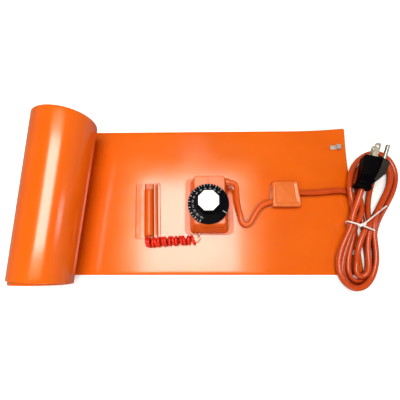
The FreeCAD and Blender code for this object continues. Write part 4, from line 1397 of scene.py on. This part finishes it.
@dataclass(frozen=True)
class EarthedPlug:
    """The plug's moulded body: a collar at the cord, finger grips and a wide flat front."""

    foot: Spot = (195.3, 23.0, 22.0)
    turn: float = 18.2
    tilt: float = 12.0
    roll: float = 12.0
    soft_corner: float = 1.7
    corner_steps: int = 4
    # Share of half the height at which the slant to the edges begins
    slant_from: float = 0.35
    # The grips' grooves: depth, distance, where they run and over what length they fade
    grip_depth: float = 0.35
    groove_pitch: float = 2.6
    groove_from: float = 10.0
    groove_to: float = 34.0
    groove_fade: float = 3.0
    # Which faces round the body are grips, and where along it; these take a paler black, a painted sheen
    grip_faces: range = range(13, 21)
    grip_from: float = 13.0
    grip_to: float = 40.0
    # Cuts near both ends, and close ones along the grips: the first, their distance and their number
    end_cuts: tuple[float, ...] = (0.3, 0.7, 1.6, 3.8, 4.6, 5.0, 5.8, 6.6, 40.7, 41.1, 41.35)
    first_cut: float = 8.0
    cut_step: float = 0.5
    cuts: int = 65
    # How far along, reach to the left, of the right edges and to the right, and half the height
    sections: tuple[tuple[float, ...], ...] = (
        (0.0, 9.0, 7.0, 9.0, 8.2), (1.2, 10.0, 7.6, 10.0, 9.0), (4.2, 10.0, 7.6, 10.0, 9.0),
        (5.4, 7.8, 6.4, 9.0, 7.8), (9.0, 7.4, 6.4, 9.6, 8.0), (17.0, 7.6, 8.4, 15.3, 10.2),
        (25.0, 8.0, 9.4, 20.2, 11.3), (30.0, 8.4, 10.0, 21.2, 11.5), (40.3, 9.6, 10.0, 20.6, 11.5),
        (41.5, 8.8, 9.4, 19.6, 10.6),
    )

    def build(self, shop: Workshop) -> bpy.types.Object:
        """Makes the body from its cuts.

        Args:
            shop: The finishes.

        Returns:
            The body.
        """
        stations = self._stations()
        placing = Matrix.Translation(Vector(self.foot))
        for angle, axis in ((-self.turn, "Z"), (self.tilt, "X"), (-self.roll, "Y")):
            placing = placing @ Matrix.Rotation(math.radians(angle), 4, axis)
        rings = []
        for station in stations:
            rings.append([placing @ Vector((x, station, z)) for x, z in self._cut(station)])
        body = loft_piece("plug_moulding", rings)
        shop.mount(body, BLACK_MATT, BLANKET)
        # Painted sheen: the grips take a paler black than the rest of the body
        body.data.materials.append(shop.finish(GRIP_PAINTED_SHEEN))
        size = len(rings[0])
        for number, face in enumerate(body.data.polygons[: (len(rings) - 1) * size]):
            row, k = divmod(number, size)
            if k in self.grip_faces and self.grip_from < stations[row] < self.grip_to:
                face.material_index = 1
        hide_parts("plug_body")
        return body

    def _stations(self) -> list[float]:
        """Where the body is cut, along its length.

        Returns:
            The places, in order.
        """
        places = {row[0] for row in self.sections}
        places |= set(self.end_cuts)
        places |= {self.first_cut + self.cut_step * k for k in range(self.cuts)}
        return sorted(places)

    def _cut(self, station: float) -> list[Flat]:
        """The rounded outline of the body at a place along it.

        Args:
            station: The place.

        Returns:
            The outline, across and up.
        """
        left, edge, right, half = self._reach(station)
        inside = min(station - self.groove_from, self.groove_to - station)
        gripped = max(0.0, min(1.0, inside / self.groove_fade))
        wave = 0.5 - 0.5 * math.cos(2 * math.pi * station / self.groove_pitch)
        groove = self.grip_depth * gripped * wave
        right -= groove
        left -= groove
        low = self.slant_from * half
        corners = [(-left, -half), (edge, -half), (right, -low), (right, low), (edge, half), (-left, half)]
        points = []
        for k, corner in enumerate(corners):
            here = Vector(corner)
            back = Vector(corners[k - 1]) - here
            on = Vector(corners[(k + 1) % len(corners)]) - here
            start = here + back.normalized() * min(self.soft_corner, back.length * 0.45)
            stop = here + on.normalized() * min(self.soft_corner, on.length * 0.45)
            for step in range(self.corner_steps + 1):
                share = step / self.corner_steps
                spot = start.lerp(here, share).lerp(here.lerp(stop, share), share)
                points.append((spot.x, spot.y))
        return points

    def _reach(self, station: float) -> list[float]:
        """The four measures of the body at a place between two of its sections.

        Args:
            station: The place.

        Returns:
            Its reach to the left, of its edges and to the right, and half its height.
        """
        for before, after in zip(self.sections, self.sections[1:]):
            if station <= after[0]:
                break
        share = (station - before[0]) / (after[0] - before[0])
        return [a + (b - a) * share for a, b in zip(before[1:], after[1:])]


@dataclass(frozen=True)
class DialPrint:
    """The white scale on the dial's skirt: strokes at the rim and numbers inside them."""

    rim_radius: float = 24.65
    grip_radius: float = 14.2
    rim_height: float = 41.4
    rise: float = 2.0
    # How far the print stands off the face
    gap: float = 0.06
    numbers: tuple[str, ...] = ("30", "40", "50", "60", "70", "80", "90", "100", "110", "120", "130", "150")
    first_angle: float = 48.0
    last_angle: float = 245.0
    number_radius: float = 18.6
    number_size: float = 3.1
    number_thick: float = 0.02
    number_gap: float = 0.05
    stroke_end: float = 24.2
    # Radius at which each kind of stroke begins, and its width
    long_stroke: Flat = (21.8, 0.55)
    short_stroke: Flat = (22.9, 0.36)
    pointer_stroke: Flat = (19.0, 0.6)
    pointer_angle: float = -28.0

    def build(self, shop: Workshop) -> None:
        """Makes the strokes and the numbers.

        Args:
            shop: The finishes.
        """
        last = len(self.numbers) - 1
        strokes = []
        for k in range(2 * last + 1):
            kind = self.long_stroke if k % 2 == 0 else self.short_stroke
            strokes.append(self._stroke(self._angle(k / (2 * last)), kind))
        strokes.append(self._stroke(self.pointer_angle, self.pointer_stroke))
        faces = [(4 * k, 4 * k + 1, 4 * k + 2, 4 * k + 3) for k in range(len(strokes))]
        verts = [vert for stroke in strokes for vert in stroke]
        scale = mesh_piece("dial_strokes", verts, faces, smooth=False)
        shop.mount(scale, PRINT_WHITE, KNOB)
        for k, number in enumerate(self.numbers):
            self._number(shop, number, self._angle(k / last))

    def _angle(self, share: float) -> float:
        """The angle at a share of the scale."""
        return self.first_angle + (self.last_angle - self.first_angle) * share

    def _surface(self, radius: float) -> float:
        """Height of the print on the skirt's sloping face, at a radius."""
        share = (self.rim_radius - radius) / (self.rim_radius - self.grip_radius)
        return self.rim_height + self.rise * share + self.gap

    def _stroke(self, angle: float, kind: Flat) -> list[Vector]:
        """One stroke that points at the middle.

        Args:
            angle: Where it stands.
            kind: Radius at which it begins, and its width.

        Returns:
            Its four corners.
        """
        turn = math.radians(angle)
        out = Vector((math.cos(turn), math.sin(turn), 0))
        side = Vector((-math.sin(turn), math.cos(turn), 0))
        inner, wide = kind
        corners = []
        for radius, shift in ((inner, -1), (self.stroke_end, -1), (self.stroke_end, 1), (inner, 1)):
            up = Vector((0, 0, self._surface(radius)))
            corners.append(out * radius + side * (shift * wide / 2) + up)
        return corners

    def _number(self, shop: Workshop, number: str, angle: float) -> None:
        """Adds one number, its foot towards the middle.

        Args:
            shop: The finishes.
            number: The number.
            angle: Where it stands.
        """
        data = bpy.data.curves.new(f"dial_number_{number}", "FONT")
        data.body = number
        data.size = self.number_size * MM
        data.align_x = "CENTER"
        data.align_y = "CENTER"
        data.extrude = self.number_thick * MM
        data.space_character = 0.9
        thing = link(f"dial_number_{number}", data)
        turn = math.radians(angle)
        radius = self.number_radius
        slope = math.atan2(self.rise, self.rim_radius - self.grip_radius)
        spin = Matrix.Rotation(turn - math.pi / 2, 4, "Z") @ Matrix.Rotation(-slope, 4, "X")
        height = self._surface(radius) + self.number_gap
        spot = Vector((radius * math.cos(turn), radius * math.sin(turn), height)) * MM
        thing.matrix_world = Matrix.Translation(spot) @ spin
        shop.mount(thing, PRINT_WORN, KNOB)


class CarriedNodes:
    """The nodes whose own shape shows, each with its finish."""

    finishes: tuple[tuple[Finish, tuple[str, ...]], ...] = (
        (HOUSING, ("thermostat_housing",)),
        (LEAD_JACKET, ("lead_grommet",)),
        (BLACK_GLOSS, ("control_knob",)),
        (CAP_METAL, ("knob_cap",)),
        (NICKEL, ("near_hook", "far_hook", "hook_rivets", "hook_washers")),
        (BLADE_METAL, ("upper_blade", "lower_blade", "earth_pin", "thermostat_terminals")),
        (ZINC, ("control_shaft", "housing_screws", "shaft_bush", "thermostat_plate", "thermostat_capsule")),
        (SWITCH_BLACK, ("thermostat_switch",)),
        (COPPER, ("sensor_bulb", "capillary_neck")),
    )

    def dress(self, shop: Workshop, nodes: dict[str, bpy.types.Object]) -> None:
        """Gives every carried node its finish.

        Args:
            shop: The finishes.
            nodes: The frame's nodes by name.
        """
        for recipe, names in self.finishes:
            for name in names:
                shop.dress(nodes[name], recipe)


def main() -> None:
    """Builds every piece in order and reports each one."""
    logging.basicConfig(level=logging.INFO, format="%(message)s")
    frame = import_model()
    nodes = frame["nodes"]
    shop = Workshop()
    camera = PhotoCamera()
    camera.build()
    LOG.info("camera placed")
    tie = CordTie(camera).build(shop)
    LOG.info("tie made")
    plug_pieces = [EarthedPlug().build(shop)]
    LOG.info("plug moulding made")
    plug_pieces += [nodes[name] for name in ("upper_blade", "lower_blade", "earth_pin")]
    PowerCord(camera).build(shop, plug_pieces + tie)
    LOG.info("power cord and hank made")
    for piece in (
        ThermostatLead(),
        CoiledCapillary(),
        CapillaryTail(),
        SensorPocket(),
        JointCover(),
        HeaterBand(),
        DialPrint(),
    ):
        piece.build(shop)
        LOG.info("%s made", type(piece).__name__)
    CarriedNodes().dress(shop, nodes)
    LOG.info("carried nodes dressed")
    Studio().build()
    LOG.info("studio made")
    bpy.context.scene.view_settings.view_transform = "Standard"
    bpy.context.view_layer.update()


if __name__ == "__main__":
    main()
